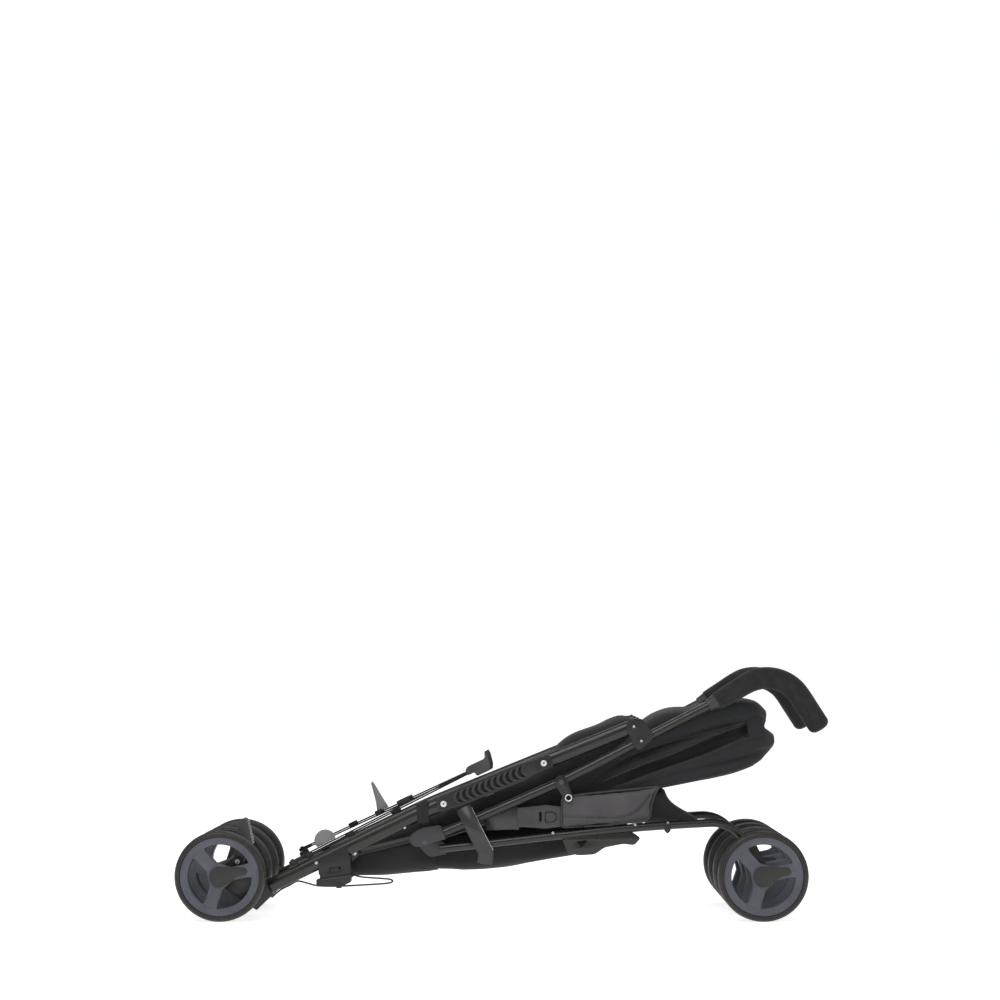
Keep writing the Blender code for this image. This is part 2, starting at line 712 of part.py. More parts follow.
def make_front_leg(side):
    """Front leg tube with the inner half of the knee hinge and the footrest bracket."""
    bow = front_run.at(front_run.length * 0.65, FRONT_LEG_BOW)
    bend = arc_down(front_bend_start, FRONT_BEND_START_ANGLE, SWIVEL_ANGLE, FRONT_BEND_RADIUS, 6)
    path = [front_run.at(-8 * MM), bow, *bend, swivel_top]
    leg = even_sweep(
        f"front_leg_{side_name(side)}", side_path(side, path),
        FRONT_LEG_DIAMETER, FRONT_LEG_DIAMETER, black_tube(), wall=TUBE_WALL,
    )
    start_line = Run(front_start, front_run.at(20 * MM))
    hub = hull(
        circle(knee, 14 * MM), circle(knee + Vector((12, -13)) * MM, 13 * MM),
        [start_line.at(0, 8 * MM), start_line.at(0, -10 * MM)],
    )
    hub_plate = side_slab("hub", side, hub, hub_inner, hub_outer, black_tube())
    cut(hub_plate, cross_pin("bore", side, knee, 4 * MM + PIN_GAP, -30 * MM, 10 * MM, black_tube()))
    join(leg, hub_plate)
    rest = [
        front_run.at(198 * MM, -2 * MM), front_run.at(208 * MM, -30 * MM), front_run.at(250 * MM, -34 * MM),
        front_run.at(272 * MM, -22 * MM), front_run.at(318 * MM, -25 * MM), front_run.at(330 * MM, -14 * MM),
        front_run.at(316 * MM, -2 * MM),
    ]
    hole = [front_run.at(222 * MM, -9 * MM), front_run.at(240 * MM, -9 * MM), front_run.at(229 * MM, -20 * MM)]
    join(leg, side_slab("rest", side, rest, -3 * MM, 5 * MM, black_tube(), holes=[hole]))
    return leg


def make_caster_fork(side):
    """Swivelling fork under the front leg's end, with a stem in the tube and the axle boss."""
    top = swivel_top + swivel_axis * SEAT_GAP
    square = across(swivel_axis)
    ends = [top + square * 14 * MM, top - square * 14 * MM]
    outline = hull(ends, circle(front_axle, FORK_AXLE_RADIUS, start=11))
    fork = side_slab(
        f"caster_fork_{side_name(side)}", side, outline, -FORK_HALF_WIDTH, FORK_HALF_WIDTH, black_moulding()
    )
    stem = FRONT_LEG_DIAMETER - 2 * TUBE_WALL - 3 * PIN_GAP
    stem_path = side_path(side, [swivel_top + swivel_axis * 4 * MM, swivel_top - swivel_axis * SWIVEL_STRAIGHT * 0.8])
    join(fork, even_sweep("stem", stem_path, stem, stem, black_moulding()))
    bore = AXLE_DIAMETER / 2 + PIN_GAP
    reach = 2 * FORK_HALF_WIDTH
    cut(fork, cross_pin("bore", side, front_axle, bore, -reach, reach, black_moulding()))
    return fork


def make_wheel(name, side, centre, outwards):
    """One wheel of a twin pair: a tyre on a three-spoke rim whose hub reaches the fork."""
    middle = row_y(side, outwards * TWIN_SPACING / 2)
    outer = WHEEL_DIAMETER / 2
    seat = outer - TYRE_DEPTH
    half = TYRE_WIDTH / 2
    tread = TREAD_WIDTH / 2
    profile = [
        (-tread, outer), (tread, outer), (half, outer - 6 * MM),
        (half - 2 * MM, seat), (2 * MM - half, seat), (-half, outer - 6 * MM),
    ]
    spot = Vector((centre[0], middle, centre[1]))
    tyre = turned(f"tyre_{name}", profile, spot, tyre_rubber(), WHEEL_SIDES)
    edge = (seat - SEAT_GAP)
    outline = circle(centre, edge, WHEEL_SIDES, start=-90 + 180 / WHEEL_SIDES)
    windows = [wheel_window(centre, edge - RIM_BAND, i) for i in range(SPOKE_COUNT)]
    bore = circle(centre, AXLE_DIAMETER / 2 + PIN_GAP, 12)
    rim = slab(
        f"rim_{name}", outline, middle - RIM_WIDTH / 2, middle + RIM_WIDTH / 2,
        rim_moulding(), holes=[*windows, bore],
    )
    towards_fork = -side * outwards
    near_face = middle + towards_fork * (RIM_WIDTH / 2 - 2 * MM)
    fork_face = middle + towards_fork * (TWIN_SPACING / 2 - FORK_HALF_WIDTH - SEAT_GAP)
    ends = sorted((near_face, fork_face))
    hub = slab("hub", circle(centre, 10 * MM, 16), ends[0], ends[1], rim_moulding(), holes=[bore])
    join(rim, hub)
    return tyre, rim


def wheel_window(centre, radius, index):
    """Outline of the opening between two spokes, with its inner corner cut by the hub."""
    first = FIRST_SPOKE_ANGLE + 360 / SPOKE_COUNT * index
    second = first + 360 / SPOKE_COUNT
    half = SPOKE_WIDTH / 2
    lean = math.degrees(math.asin(half / radius))
    steps = 5
    arc = []
    for i in range(steps + 1):
        angle = first + lean + (second - first - 2 * lean) * i / steps
        arc.append(Vector(centre) + radius * heading(angle))
    hub = HUB_DIAMETER / 2
    hub_lean = math.degrees(math.asin(min(1.0, half / hub)))
    inner = [Vector(centre) + hub * heading(second - hub_lean), Vector(centre) + hub * heading(first + hub_lean)]
    return arc + inner


def brace_height(side):
    return BRACE_NEAR_HEIGHT if side == NEAR else BRACE_NEAR_HEIGHT + BRACE_STACK


def brace_place(side):
    """Frame of a brace bar at rest: x along the bar, y up from the rear legs' plane, z across."""
    spread = math.asin(2 * FRAME_HALF_WIDTH / BRACE_LENGTH)
    forward = Vector((rear_low.along.x, 0, rear_low.along.y))
    upward = Vector((rear_low.up.x, 0, rear_low.up.y))
    along = forward * math.cos(spread) + Vector((0, -side, 0)) * math.sin(spread)
    sideways = along.cross(upward)
    base = rear_low.at(BRACE_ALONG, brace_height(side))
    place = Matrix((along, upward, sideways)).transposed().to_4x4()
    place.translation = Vector((base.x, row_y(side, 0), base.y))
    return place


def make_brace_bar(side):
    """Flat bar from one rear leg's block to a shoe over the opposite rear leg."""
    place = brace_place(side)
    half = BRACE_WIDTH / 2
    outline = hull(circle((0, 0), half, 16), circle((BRACE_LENGTH, 0), half, 16))
    bore = circle((0, 0), BRACE_PIN_DIAMETER / 2 + PIN_GAP, 12)
    return slab(
        f"brace_bar_{side_name(side)}", outline, 0, BRACE_THICKNESS, black_tube(), holes=[bore], place=place
    )


def make_brace_paddle(side):
    """Pale foot paddle that stands on a brace bar."""
    place = brace_place(side)
    if side == NEAR:
        base = 68 * MM
        edge = [p for p in circle((base, 4 * MM), 19 * MM, 28, start=90 / 7) if p.y > 0]
        low = [Vector((base - 18 * MM, 0)), Vector((base + 18 * MM, 0))]
    else:
        base = 184 * MM
        edge = [Vector((base + 3 * MM, 52 * MM)), Vector((base + 6 * MM, 52.5 * MM))]
        low = [Vector((base - 11 * MM, 0)), Vector((base + 13 * MM, 0))]
    lift = BRACE_THICKNESS + SEAT_GAP
    corners = hull([Vector((p[0], p[1] + lift)) for p in edge + low])
    upright = Matrix.Rotation(math.radians(-90), 4, "X")
    return slab(
        f"brace_paddle_{side_name(side)}", corners, -2.5 * MM, 2.5 * MM, pale_moulding(),
        place=place @ upright,
    )


def make_carry_handle(side):
    """Ribbed carry handle clipped over the outer face of the near rear leg."""
    start = CARRY_START
    end = CARRY_START + CARRY_LENGTH
    grip_low = start + 28 * MM
    grip_high = end - 44 * MM
    deep = CARRY_GRIP_DEPTH / 2
    slim = CARRY_END_DEPTH / 2
    corners = [
        (start, -slim), (grip_low - 6 * MM, -slim), (grip_low, -deep), (grip_high, -deep),
        (grip_high + 12 * MM, -slim), (end, -slim), (end, slim), (grip_high + 12 * MM, slim),
        (grip_high, deep), (grip_low, deep), (grip_low - 6 * MM, slim), (start, slim),
    ]
    outline = [rear_high.at(s, h) for s, h in corners]
    pitch = (grip_high - grip_low) / CARRY_SLOTS
    slots = []
    for i in range(CARRY_SLOTS):
        middle = grip_low + pitch * (i + 0.5)
        rim = circle((0, 0), 1.0, 10)
        slots.append([rear_high.at(middle + p.x * pitch * 0.22, p.y * deep * 0.72) for p in rim])
    return side_slab(
        "carry_handle", side, outline, plate_face, plate_face + CARRY_THICKNESS, black_moulding(), holes=slots
    )


def ribbon(name, path, across_strip, width, thickness, finish):
    """A flat strip along a path in space, with its width along one fixed direction."""
    bm = bmesh.new()
    points = [Vector(p) for p in path]
    tangents = path_frames(points)
    rings = []
    for point, tangent in zip(points, tangents):
        normal = tangent.cross(across_strip).normalized()
        flat = normal.cross(tangent).normalized()
        rings.append([
            bm.verts.new(point + flat * width / 2 * a + normal * thickness / 2 * b)
            for a, b in ((-1, -1), (1, -1), (1, 1), (-1, 1))
        ])
    for a, b in zip(rings, rings[1:]):
        for k in range(4):
            bm.faces.new((a[k - 1], a[k], b[k], b[k - 1]))
    for ring in (rings[0], rings[-1]):
        bm.faces.new(ring)
    return new_object(name, bm, finish)


def latch_top():
    return rear_high.at(CARRY_START + 39 * MM, -CARRY_GRIP_DEPTH / 2 - 1.5 * MM)


def make_storage_latch(side):
    """Curved latch that hangs from the carry handle down to the front leg."""
    top = latch_top()
    foot_x = top.x + 37 * MM
    foot = Vector((foot_x, front_run.at(foot_x - front_start.x).y - 11 * MM))
    steps = 9
    path = []
    for i in range(steps + 1):
        share = i / steps
        spot = top.lerp(foot, share)
        bulge = 11 * MM * math.sin(math.pi * share) ** 0.8
        path.append(Vector((spot.x, row_y(side, plate_face + 3 * MM + bulge), spot.y)))
    path.append(Vector((foot.x, row_y(side, plate_face + 1.8 * MM), foot.y - 10 * MM)))
    lean = Vector((0.96, 0, 0.28))
    return ribbon("storage_latch", path, lean, LATCH_WIDTH, LATCH_THICKNESS, grey_webbing())


def make_brake_cable(side):
    """Cable in a slack loop from the rear housing to the clip under the stay bracket."""
    bracket_corner = rear_low.at(146 * MM, -REAR_LEG_DEPTH / 2 - SEAT_GAP)
    clip_face = Vector((bracket_corner.x, rear_low.at(88 * MM, -REAR_LEG_DEPTH / 2).y - 12 * MM))
    start = rear_low.at(-6 * MM, -18.6 * MM)
    loop_end = clip_face + Vector((74, -1)) * MM
    marks = [
        (start.x, 0, start.y),
        (start.x + 10 * MM, 0.5, start.y - 1 * MM),
        (start.x + 40 * MM, 1, clip_face.y - 22 * MM),
        (start.x + 82 * MM, 2, clip_face.y - 25 * MM),
        (clip_face.x + 22 * MM, 4, clip_face.y - 17 * MM),
        (clip_face.x + 52 * MM, 7, clip_face.y - 8 * MM),
        (loop_end.x, 11, loop_end.y),
        (loop_end.x - 4 * MM, 16, clip_face.y + 5 * MM),
        (loop_end.x - 24 * MM, 18, clip_face.y + 6.5 * MM),
        (clip_face.x + 24 * MM, 17, clip_face.y + 5 * MM),
        (clip_face.x + 8 * MM, 15, clip_face.y + 2.5 * MM),
        (clip_face.x + SEAT_GAP, 14, clip_face.y + 2 * MM),
    ]
    route = [Vector((x, row_y(side, -inwards * MM), z)) for x, inwards, z in marks]
    curve = bpy.data.curves.new("brake_cable", "CURVE")
    curve.dimensions = "3D"
    curve.bevel_depth = CABLE_DIAMETER / 2
    curve.bevel_resolution = 2
    curve.use_fill_caps = True
    points = smooth_route(route, 3)
    spline = curve.splines.new("POLY")
    spline.points.add(len(points) - 1)
    for target, point in zip(spline.points, points):
        target.co = (*point, 1.0)
    curve.materials.append(black_moulding())
    cable = bpy.data.objects.new("brake_cable", curve)
    bpy.context.scene.collection.objects.link(cable)
    return cable


def smooth_route(marks, steps):
    """Catmull-Rom curve through the marks."""
    padded = [2 * marks[0] - marks[1], *marks, 2 * marks[-1] - marks[-2]]
    points = []
    for a, b, c, d in zip(padded, padded[1:], padded[2:], padded[3:]):
        for i in range(steps):
            t = i / steps
            points.append(0.5 * (
                2 * b + (c - a) * t + (2 * a - 5 * b + 4 * c - d) * t ** 2
                + (3 * b - 3 * c + d - a) * t ** 3
            ))
    return points + [marks[-1]]


def make_canopy():
    """Folded canopy between the handle tubes, from its eyelets to the bunched hood."""
    stations = [
        (4, -40, -8, 22), (18, -46, 8, 48), (45, -55, 20, 62), (80, -68, 24, 68), (110, -79, 25, 70),
        (150, -94, 26, 70), (182, -106, 27, 70), (218, -118, 23, 70), (252, -128, 9, 70), (280, -132, -2, 70),
        (302, -133, -10, 69), (322, -127, -18, 67), (338, -118, -28, 62), (350, -104, -42, 50), (356, -92, -60, 30),
    ]
    scaled = []
    for along, low, high, half in stations:
        scaled.append((along * MM, low * MM, high * MM, half / 70 * CANOPY_HALF_WIDTH))
    hood = fabric_bundle("canopy", handle_high, scaled, black_fabric(), folds=6, fold_depth=0.10, drop=0.05)
    return sew_hem(hood, handle_high, 112 * MM, 140 * MM, tube_gap(HANDLE_TUBE_DIAMETER))


def tube_gap(tube_width):
    """Half the width of a hem that seats on the inner faces of two tubes."""
    return FRAME_HALF_WIDTH - tube_width / 2 - SEAT_GAP


def level_stations(anchor, stations, half_width):
    """Stations given in millimetres from a row point, for a bundle that lies along +X."""
    run = Run(anchor, Vector(anchor) + Vector((1, 0)))
    return run, [(x * MM, low * MM, high * MM, share * half_width) for x, low, high, share in stations]


def make_seat_fabric():
    """Seat and back folded flat between the rear legs and the front legs."""
    run, stations = level_stations(knee, [
        (28, 14, 44, 0.8), (45, 15, 54, 0.95), (90, 16, 78, 1.0), (140, 19, 98, 1.0), (180, 22, 114, 1.0),
        (210, 24, 124, 1.0), (226, 26, 118, 1.0), (236, 28, 62, 1.0), (290, 30, 66, 1.0), (340, 35, 72, 1.0),
        (366, 42, 74, 0.9),
    ], SEAT_HALF_WIDTH)
    seat = fabric_bundle("seat_fabric", run, stations, black_fabric(), folds=4, fold_depth=0.08, drop=0.07)
    return sew_hem(seat, handle_low, 130 * MM, 195 * MM, tube_gap(HANDLE_TUBE_DIAMETER))


def make_basket_front():
    """Front half of the shopping basket, hung under the front legs."""
    run, stations = level_stations(knee, [
        (24, -52, -6, 0.9), (40, -53, 0, 1.0), (90, -53, 8, 1.0), (150, -47, 13, 1.0), (200, -40, 16, 1.0),
        (245, -30, 20, 1.0), (272, -20, 22, 1.0), (300, -8, 23, 0.9), (318, 2, 20, 0.6),
    ], SEAT_HALF_WIDTH)
    basket = fabric_bundle("basket_front", run, stations, black_fabric(), folds=4, fold_depth=0.07, drop=0.1)
    return sew_hem(basket, front_run, 110 * MM, 175 * MM, tube_gap(FRONT_LEG_DIAMETER))


def make_basket_rear():
    """Rear half of the shopping basket, hung from the rear legs."""
    run, stations = level_stations(knee, [
        (-146, -62, -20, 0.8), (-130, -63, -10, 1.0), (-90, -63, 5, 1.0), (-40, -61, 24, 1.0),
        (0, -59, 34, 1.0), (12, -57, 34, 1.0), (18, -54, 28, 0.95),
    ], SEAT_HALF_WIDTH)
    basket = fabric_bundle("basket_rear", run, stations, black_fabric(), folds=4, fold_depth=0.07, drop=0.1)
    housing_gap = FRAME_HALF_WIDTH + stay_outer
    edge = Run(knee + Vector((-141, -48)) * MM, knee + Vector((-125, -48)) * MM)
    return sew_hem(basket, edge, 0, edge.length, housing_gap)


def make_calf_panel():
    """Calf rest bunched on the front legs."""
    run, stations = level_stations(front_bend_start, [
        (-105, -4, 36, 0.8), (-96, -6, 49, 1.0), (-76, -8, 57, 1.0), (-60, -9, 36, 1.0),
        (-40, -9, 20, 1.0), (-22, -10, 8, 1.0), (-12, -10, 0, 0.8),
    ], SEAT_HALF_WIDTH)
    panel = fabric_bundle("calf_panel", run, stations, black_fabric(), folds=4, fold_depth=0.06, drop=0.1)
    return sew_hem(panel, front_run, 370 * MM, 420 * MM, tube_gap(FRONT_LEG_DIAMETER))


def make_harness_pad(side):
    """Grey padded strap hung between the handle tube and the front leg."""
    corners = [
        (100, 152), (100, 203), (135, 208), (180, 213), (225, 216), (252, 214), (250, 190), (238, 172),
        (215, 162), (180, 156.5), (140, 154),
    ]
    origin = elbow - Vector((99, 229)) * MM
    outline = [origin + Vector(c) * MM for c in corners]
    outer = plate_face - SEAT_GAP
    return side_slab("harness_pad", side, outline, outer - PAD_THICKNESS, outer, grey_webbing())


def make_harness_buckle(side):
    """Side-release buckle in line with the harness pad, with a slot for its web."""
    origin = elbow - Vector((99, 229)) * MM
    end = 100 - SEAT_GAP / MM
    corners = [(25, 153), (25, 185), (58, 188), (72, 190), (end, 187), (end, 153), (72, 150), (58, 151)]
    outline = [origin + Vector(c) * MM for c in corners]
    slot = [origin + Vector(c) * MM for c in ((62, 162), (62, 178), (66, 178), (66, 162))]
    return side_slab(
        "harness_buckle", side, outline, -5 * MM, BUCKLE_THICKNESS - 5 * MM, black_moulding(), holes=[slot]
    )


def build_side(side):
    """Every rigid piece of one side, each carried by the empty on its joint."""
    tag = side_name(side)
    handle = pivot_at(f"handle_joint_{tag}", joint_spot(side, elbow))
    carry(
        handle, make_handle_tube(side), make_grip(side), make_pivot_plate(side),
        make_canopy_bracket(side), make_knee_plate(side),
    )
    rear = pivot_at(f"rear_leg_joint_{tag}", joint_spot(side, fold_pivot))
    carry(
        rear, make_rear_leg(side), make_rear_housing(side), make_stay_bracket(side),
        make_axle(f"rear_axle_{tag}", side, rear_axle),
    )
    carry(pivot_at(f"stay_joint_{tag}", joint_spot(side, stay_pivot)), make_stay_bar(side))
    carry(pivot_at(f"link_joint_{tag}", joint_spot(side, knee)), make_knee_link(side))
    brace_spot = brace_place(side).translation
    carry(pivot_at(f"brace_joint_{tag}", brace_spot), make_brace_bar(side), make_brace_paddle(side))
    front = pivot_at(f"front_leg_joint_{tag}", joint_spot(side, knee))
    carry(front, make_front_leg(side))
    caster = pivot_at(f"caster_joint_{tag}", joint_spot(side, swivel_top))
    carry(caster, make_caster_fork(side), make_axle(f"front_axle_{tag}", side, front_axle))
    for end, centre in (("rear", rear_axle), ("front", front_axle)):
        for place, outwards in (("outer", 1), ("inner", -1)):
            spot = joint_spot(side, centre, outwards * TWIN_SPACING / 2)
            wheel = pivot_at(f"{end}_{place}_wheel_joint_{tag}", spot)
            carry(wheel, *make_wheel(f"{end}_{place}_{tag}", side, centre, outwards))
    return handle, rear, front


def main():
    clear_scene()
    handle, rear, front = build_side(NEAR)
    build_side(FAR)
    carry(rear, make_carry_handle(NEAR))
    carry(pivot_at("pedal_joint_near", joint_spot(NEAR, pedal_pivot)), make_brake_pedal(NEAR))
    cable = make_brake_cable(NEAR)
    cable.parent = rear
    cable.matrix_parent_inverse = Matrix.Translation(-rear.location)
    latch_joint = pivot_at("latch_joint", joint_spot(NEAR, latch_top(), plate_face + 3 * MM))
    carry(latch_joint, make_storage_latch(NEAR))
    carry(handle, make_canopy(), make_seat_fabric(), make_harness_pad(NEAR), make_harness_buckle(NEAR))
    carry(front, make_basket_front(), make_calf_panel())
    carry(rear, make_basket_rear())


main()
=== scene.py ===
import math

import bmesh
import bpy
from mathutils import Matrix, Vector, noise
from mathutils.bvhtree import BVHTree


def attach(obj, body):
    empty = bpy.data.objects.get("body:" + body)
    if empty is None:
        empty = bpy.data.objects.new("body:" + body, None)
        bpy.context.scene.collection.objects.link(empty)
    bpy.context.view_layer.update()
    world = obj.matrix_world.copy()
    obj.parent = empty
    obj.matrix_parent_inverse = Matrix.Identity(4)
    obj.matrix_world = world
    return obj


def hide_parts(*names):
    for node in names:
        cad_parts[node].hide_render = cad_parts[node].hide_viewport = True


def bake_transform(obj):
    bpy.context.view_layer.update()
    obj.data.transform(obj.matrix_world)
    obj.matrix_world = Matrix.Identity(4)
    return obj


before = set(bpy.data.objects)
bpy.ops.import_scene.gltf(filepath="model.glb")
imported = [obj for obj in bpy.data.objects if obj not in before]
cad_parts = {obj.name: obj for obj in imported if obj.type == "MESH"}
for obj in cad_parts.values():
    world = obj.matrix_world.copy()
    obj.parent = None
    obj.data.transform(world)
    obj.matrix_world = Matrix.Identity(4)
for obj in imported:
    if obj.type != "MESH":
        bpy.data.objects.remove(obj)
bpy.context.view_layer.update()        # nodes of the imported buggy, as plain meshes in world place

mm = 0.001
sides = {"near": -1, "far": 1}
halfWidth = 84 * mm      # from the middle plane to each side's frame plane
print("frame loaded:", len(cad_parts), "nodes")


# places in the side plane, as (x, z)
def heading(angle):
    return Vector((math.cos(math.radians(angle)), math.sin(math.radians(angle))))


def squareTo(direction):
    return Vector((-direction.y, direction.x))


def mmAt(x, z):                                  # a side-plane place typed in millimetres
    return Vector((x * mm, z * mm))


class Run:                                       # a straight stretch of the frame
    def __init__(self, start, end):
        self.start = Vector(start)
        self.length = (Vector(end) - self.start).length
        self.along = (Vector(end) - self.start).normalized()
        self.up = squareTo(self.along)

    def at(self, distance, lift=0.0):            # in metres
        return self.start + self.along * distance + self.up * lift

    def mark(self, distance, lift=0.0):          # in millimetres
        return self.at(distance * mm, lift * mm)

    def marks(self, places):
        return [self.mark(*place) for place in places]


spots = {
    "rearAxle": (-0.4689, 0.07535), "frontAxle": (0.4323, 0.07535), "rearFoot": (-0.3918, 0.05445),
    "rearBend": (-0.137225, 0.178065), "foldPivot": (0.219488, 0.322911), "elbow": (0.097868, 0.229754),
    "knee": (-0.131222, 0.129667), "gripStart": (0.359744, 0.364918), "platePin": (0.231872, 0.298918),
    "frontStart": (-0.098222, 0.117667), "frontBend": (0.346102, 0.160437), "swivelTop": (0.406714, 0.129333),
    "stayPivot": (-0.250599, 0.108895), "pedalPivot": (-0.444, 0.09695), "housingPin": (-0.313, 0.094),
}
spots = {name: Vector(place) for name, place in spots.items()}
rearLow = Run(spots["rearFoot"], spots["rearBend"])
rearHigh = Run(spots["rearBend"], spots["foldPivot"])
handleLow = Run(spots["knee"], spots["elbow"])
handleHigh = Run(spots["elbow"], spots["gripStart"])
frontRun = Run(spots["frontStart"], spots["frontBend"])


def rowY(side, out):                             # out is in millimetres from the side's frame plane
    return side * (halfWidth + out * mm)


def space(side, out, point):
    return Vector((point[0], rowY(side, out), point[1]))


def sidePath(side, points):
    return [space(side, 0, p) for p in points]


def smoothLine(marks, steps):                    # Catmull-Rom curve through the marks
    marks = [Vector(m) for m in marks]
    padded = [2 * marks[0] - marks[1], *marks, 2 * marks[-1] - marks[-2]]
    line = []
    for a, b, c, d in zip(padded, padded[1:], padded[2:], padded[3:]):
        for i in range(steps):
            t = i / steps
            line.append(0.5 * (2 * b + (c - a) * t + (2 * a - 5 * b + 4 * c - d) * t ** 2
                               + (3 * b - 3 * c + d - a) * t ** 3))
    return line + [marks[-1]]


def bend(start, corner, end, steps=8):           # a soft corner between two straights
    line = []
    for i in range(steps + 1):
        t = i / steps
        line.append(start * (1 - t) ** 2 + corner * 2 * t * (1 - t) + end * t ** 2)
    return line


def ringOf(centre, radius, steps=32):            # radius is in millimetres
    return [Vector(centre) + heading(360 * i / steps) * (radius * mm) for i in range(steps)]


def rounded(corners, radii, steps=5):            # an outline with each corner rounded
    corners = [Vector(c) for c in corners]
    if not hasattr(radii, "__len__"):
        radii = [radii] * len(corners)
    outline = []
    for i, corner in enumerate(corners):
        back, ahead = corners[i - 1] - corner, corners[(i + 1) % len(corners)] - corner
        reach = min(radii[i] * mm, back.length * 0.48, ahead.length * 0.48)
        if reach <= 0:
            outline.append(corner)
        else:
            start, end = corner + back.normalized() * reach, corner + ahead.normalized() * reach
            outline += bend(start, corner, end, steps)
    return outline


def shapeOf(marks, radius):                      # a rounded outline typed in millimetres
    return rounded([Vector(m) * mm for m in marks], radius)


def hull(*groups):                               # convex outline round groups of side-plane points
    def turn(a, b, c):
        return (b[0] - a[0]) * (c[1] - a[1]) - (b[1] - a[1]) * (c[0] - a[0])
    points = sorted({(round(p[0], 7), round(p[1], 7)) for group in groups for p in group})
    outline = []
    for ordered in (points, points[::-1]):
        chain = []
        for p in ordered:
            while len(chain) > 1 and turn(chain[-2], chain[-1], p) <= 0:
                chain.pop()
            chain.append(p)
        outline += chain[:-1]
    return [Vector(p) for p in outline]


# mesh parts, each added to one bmesh
def joinRings(bm, rings):                        # a skin over rings of vertices, closed at both ends
    for a, b in zip(rings, rings[1:]):
        for k in range(len(a)):
            bm.faces.new((a[k - 1], a[k], b[k], b[k - 1]))
    for ring in (rings[0], rings[-1]):
        bm.faces.new(ring)


def tangentAt(points, i):
    return (points[min(i + 1, len(points) - 1)] - points[max(i - 1, 0)]).normalized()


def addTube(bm, points, widths, heights=None, steps=36, lateral=(0, 1, 0)):
    points, lateral, rings = [Vector(p) for p in points], Vector(lateral), []
    if not hasattr(widths, "__len__"):           # widths and heights are in millimetres
        widths = [widths] * len(points)
    heights = widths if heights is None else [heights] * len(points)
    for i, point in enumerate(points):
        tangent = tangentAt(points, i)
        up = tangent.cross(lateral).normalized()
        flat = up.cross(tangent).normalized()
        ring = []
        for k in range(steps):
            turn = 2 * math.pi * (k + 0.5) / steps
            across = flat * (widths[i] * mm) / 2 * math.cos(turn)
            lift = up * (heights[i] * mm) / 2 * math.sin(turn)
            ring.append(bm.verts.new(point + across + lift))
        rings.append(ring)
    joinRings(bm, rings)


def meshOf(item):                                # the object's evaluated mesh
    bpy.context.view_layer.update()
    return bpy.data.meshes.new_from_object(item.evaluated_get(bpy.context.evaluated_depsgraph_get()))


def linked(name, data):
    item = bpy.data.objects.new(name, data)
    bpy.context.scene.collection.objects.link(item)
    return item


def addPlate(bm, outline, low, high, bevel, holes=(), place=None):
    curve = bpy.data.curves.new("plate", "CURVE")
    curve.dimensions = "2D"
    curve.fill_mode = "BOTH"
    curve.extrude = max((high - low) / 2 - bevel, 0.00001)
    curve.bevel_depth = bevel
    curve.bevel_resolution = 2
    curve.offset = -bevel
    for loop in (outline, *holes):
        spline = curve.splines.new("POLY")
        spline.points.add(len(loop) - 1)
        for target, point in zip(spline.points, loop):
            target.co = (point[0], point[1], 0, 1)
        spline.use_cyclic_u = True
    item = linked("plate", curve)
    mesh = meshOf(item)
    if place is None:                            # upright in the side plane, between two values of Y
        place = Matrix.Translation((0, (low + high) / 2, 0)) @ Matrix.Rotation(math.radians(90), 4, "X")
    else:
        place = place @ Matrix.Translation((0, 0, (low + high) / 2))
    mesh.transform(place)
    bm.from_mesh(mesh)
    bpy.data.objects.remove(item)
    bpy.data.curves.remove(curve)
    bpy.data.meshes.remove(mesh)


def addSidePlate(bm, side, outline, inner, outer, bevel, holes=()):     # distances in millimetres
    low, high = sorted((rowY(side, inner), rowY(side, outer)))
    addPlate(bm, outline, low, high, bevel * mm, holes)


def addDisc(bm, side, centre, radius, inner, outer):
    addSidePlate(bm, side, ringOf(centre, radius), inner, outer, 0.5)


def addLathe(bm, profile, centre, steps):        # a closed (y, radius) profile turned round a wheel's axis
    rings = []
    for i in range(steps):
        spoke = heading(360 * i / steps)
        ring = [Vector((spoke.x * r * mm, y * mm, spoke.y * r * mm)) for y, r in profile]
        rings.append([bm.verts.new(centre + p) for p in ring])
    for i in range(steps):
        for k in range(len(profile)):
            bm.faces.new((rings[i - 1][k - 1], rings[i - 1][k], rings[i][k], rings[i][k - 1]))


def addRibbon(bm, path, flats, normals, width, thickness, crown, steps=10):
    rings = []                                   # a strip whose section is gently crowned
    for point, flat, normal in zip(path, flats, normals):
        ring = []
        for face in (1, -1):
            for k in range(steps + 1):
                share = (k / steps * 2 - 1) * face
                lift = crown * (1 - share ** 2) + thickness / 2 * face * (1 - abs(share) ** 6 * 0.6)
                ring.append(bm.verts.new(point + flat * (width / 2 * share * mm) + normal * (lift * mm)))
        rings.append(ring)
    joinRings(bm, rings)


def objectFrom(name, mesh, material):
    mesh.name = name
    mesh.materials.clear()
    mesh.materials.append(material)
    return linked(name, mesh)


def applied(item):                               # the mesh with its modifiers, as plain data
    mesh = meshOf(item)
    name, material = item.name, item.data.materials[0]
    bpy.data.objects.remove(item)
    return objectFrom(name, mesh, material)


def shadeMesh(mesh, sharp):
    mesh.shade_smooth()
    mesh.set_sharp_from_angle(angle=math.radians(sharp))


def meshFrom(bm, sharp=35):
    bmesh.ops.remove_doubles(bm, verts=bm.verts, dist=1e-6)
    bmesh.ops.recalc_face_normals(bm, faces=bm.faces)
    mesh = bpy.data.meshes.new("made")
    bm.to_mesh(mesh)
    bm.free()
    shadeMesh(mesh, sharp)
    return mesh


def carried(item, bodies, replaced=()):    # by one body, or across a pair of bodies
    if isinstance(bodies, str):
        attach(item, bodies)
    else:
        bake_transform(item)
    if replaced:
        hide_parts(*replaced)
    return item


def settle(name, bm, finish, bodies, replaced=(), sharp=35):
    return carried(objectFrom(name, meshFrom(bm, sharp), finishes[finish]), bodies, replaced)


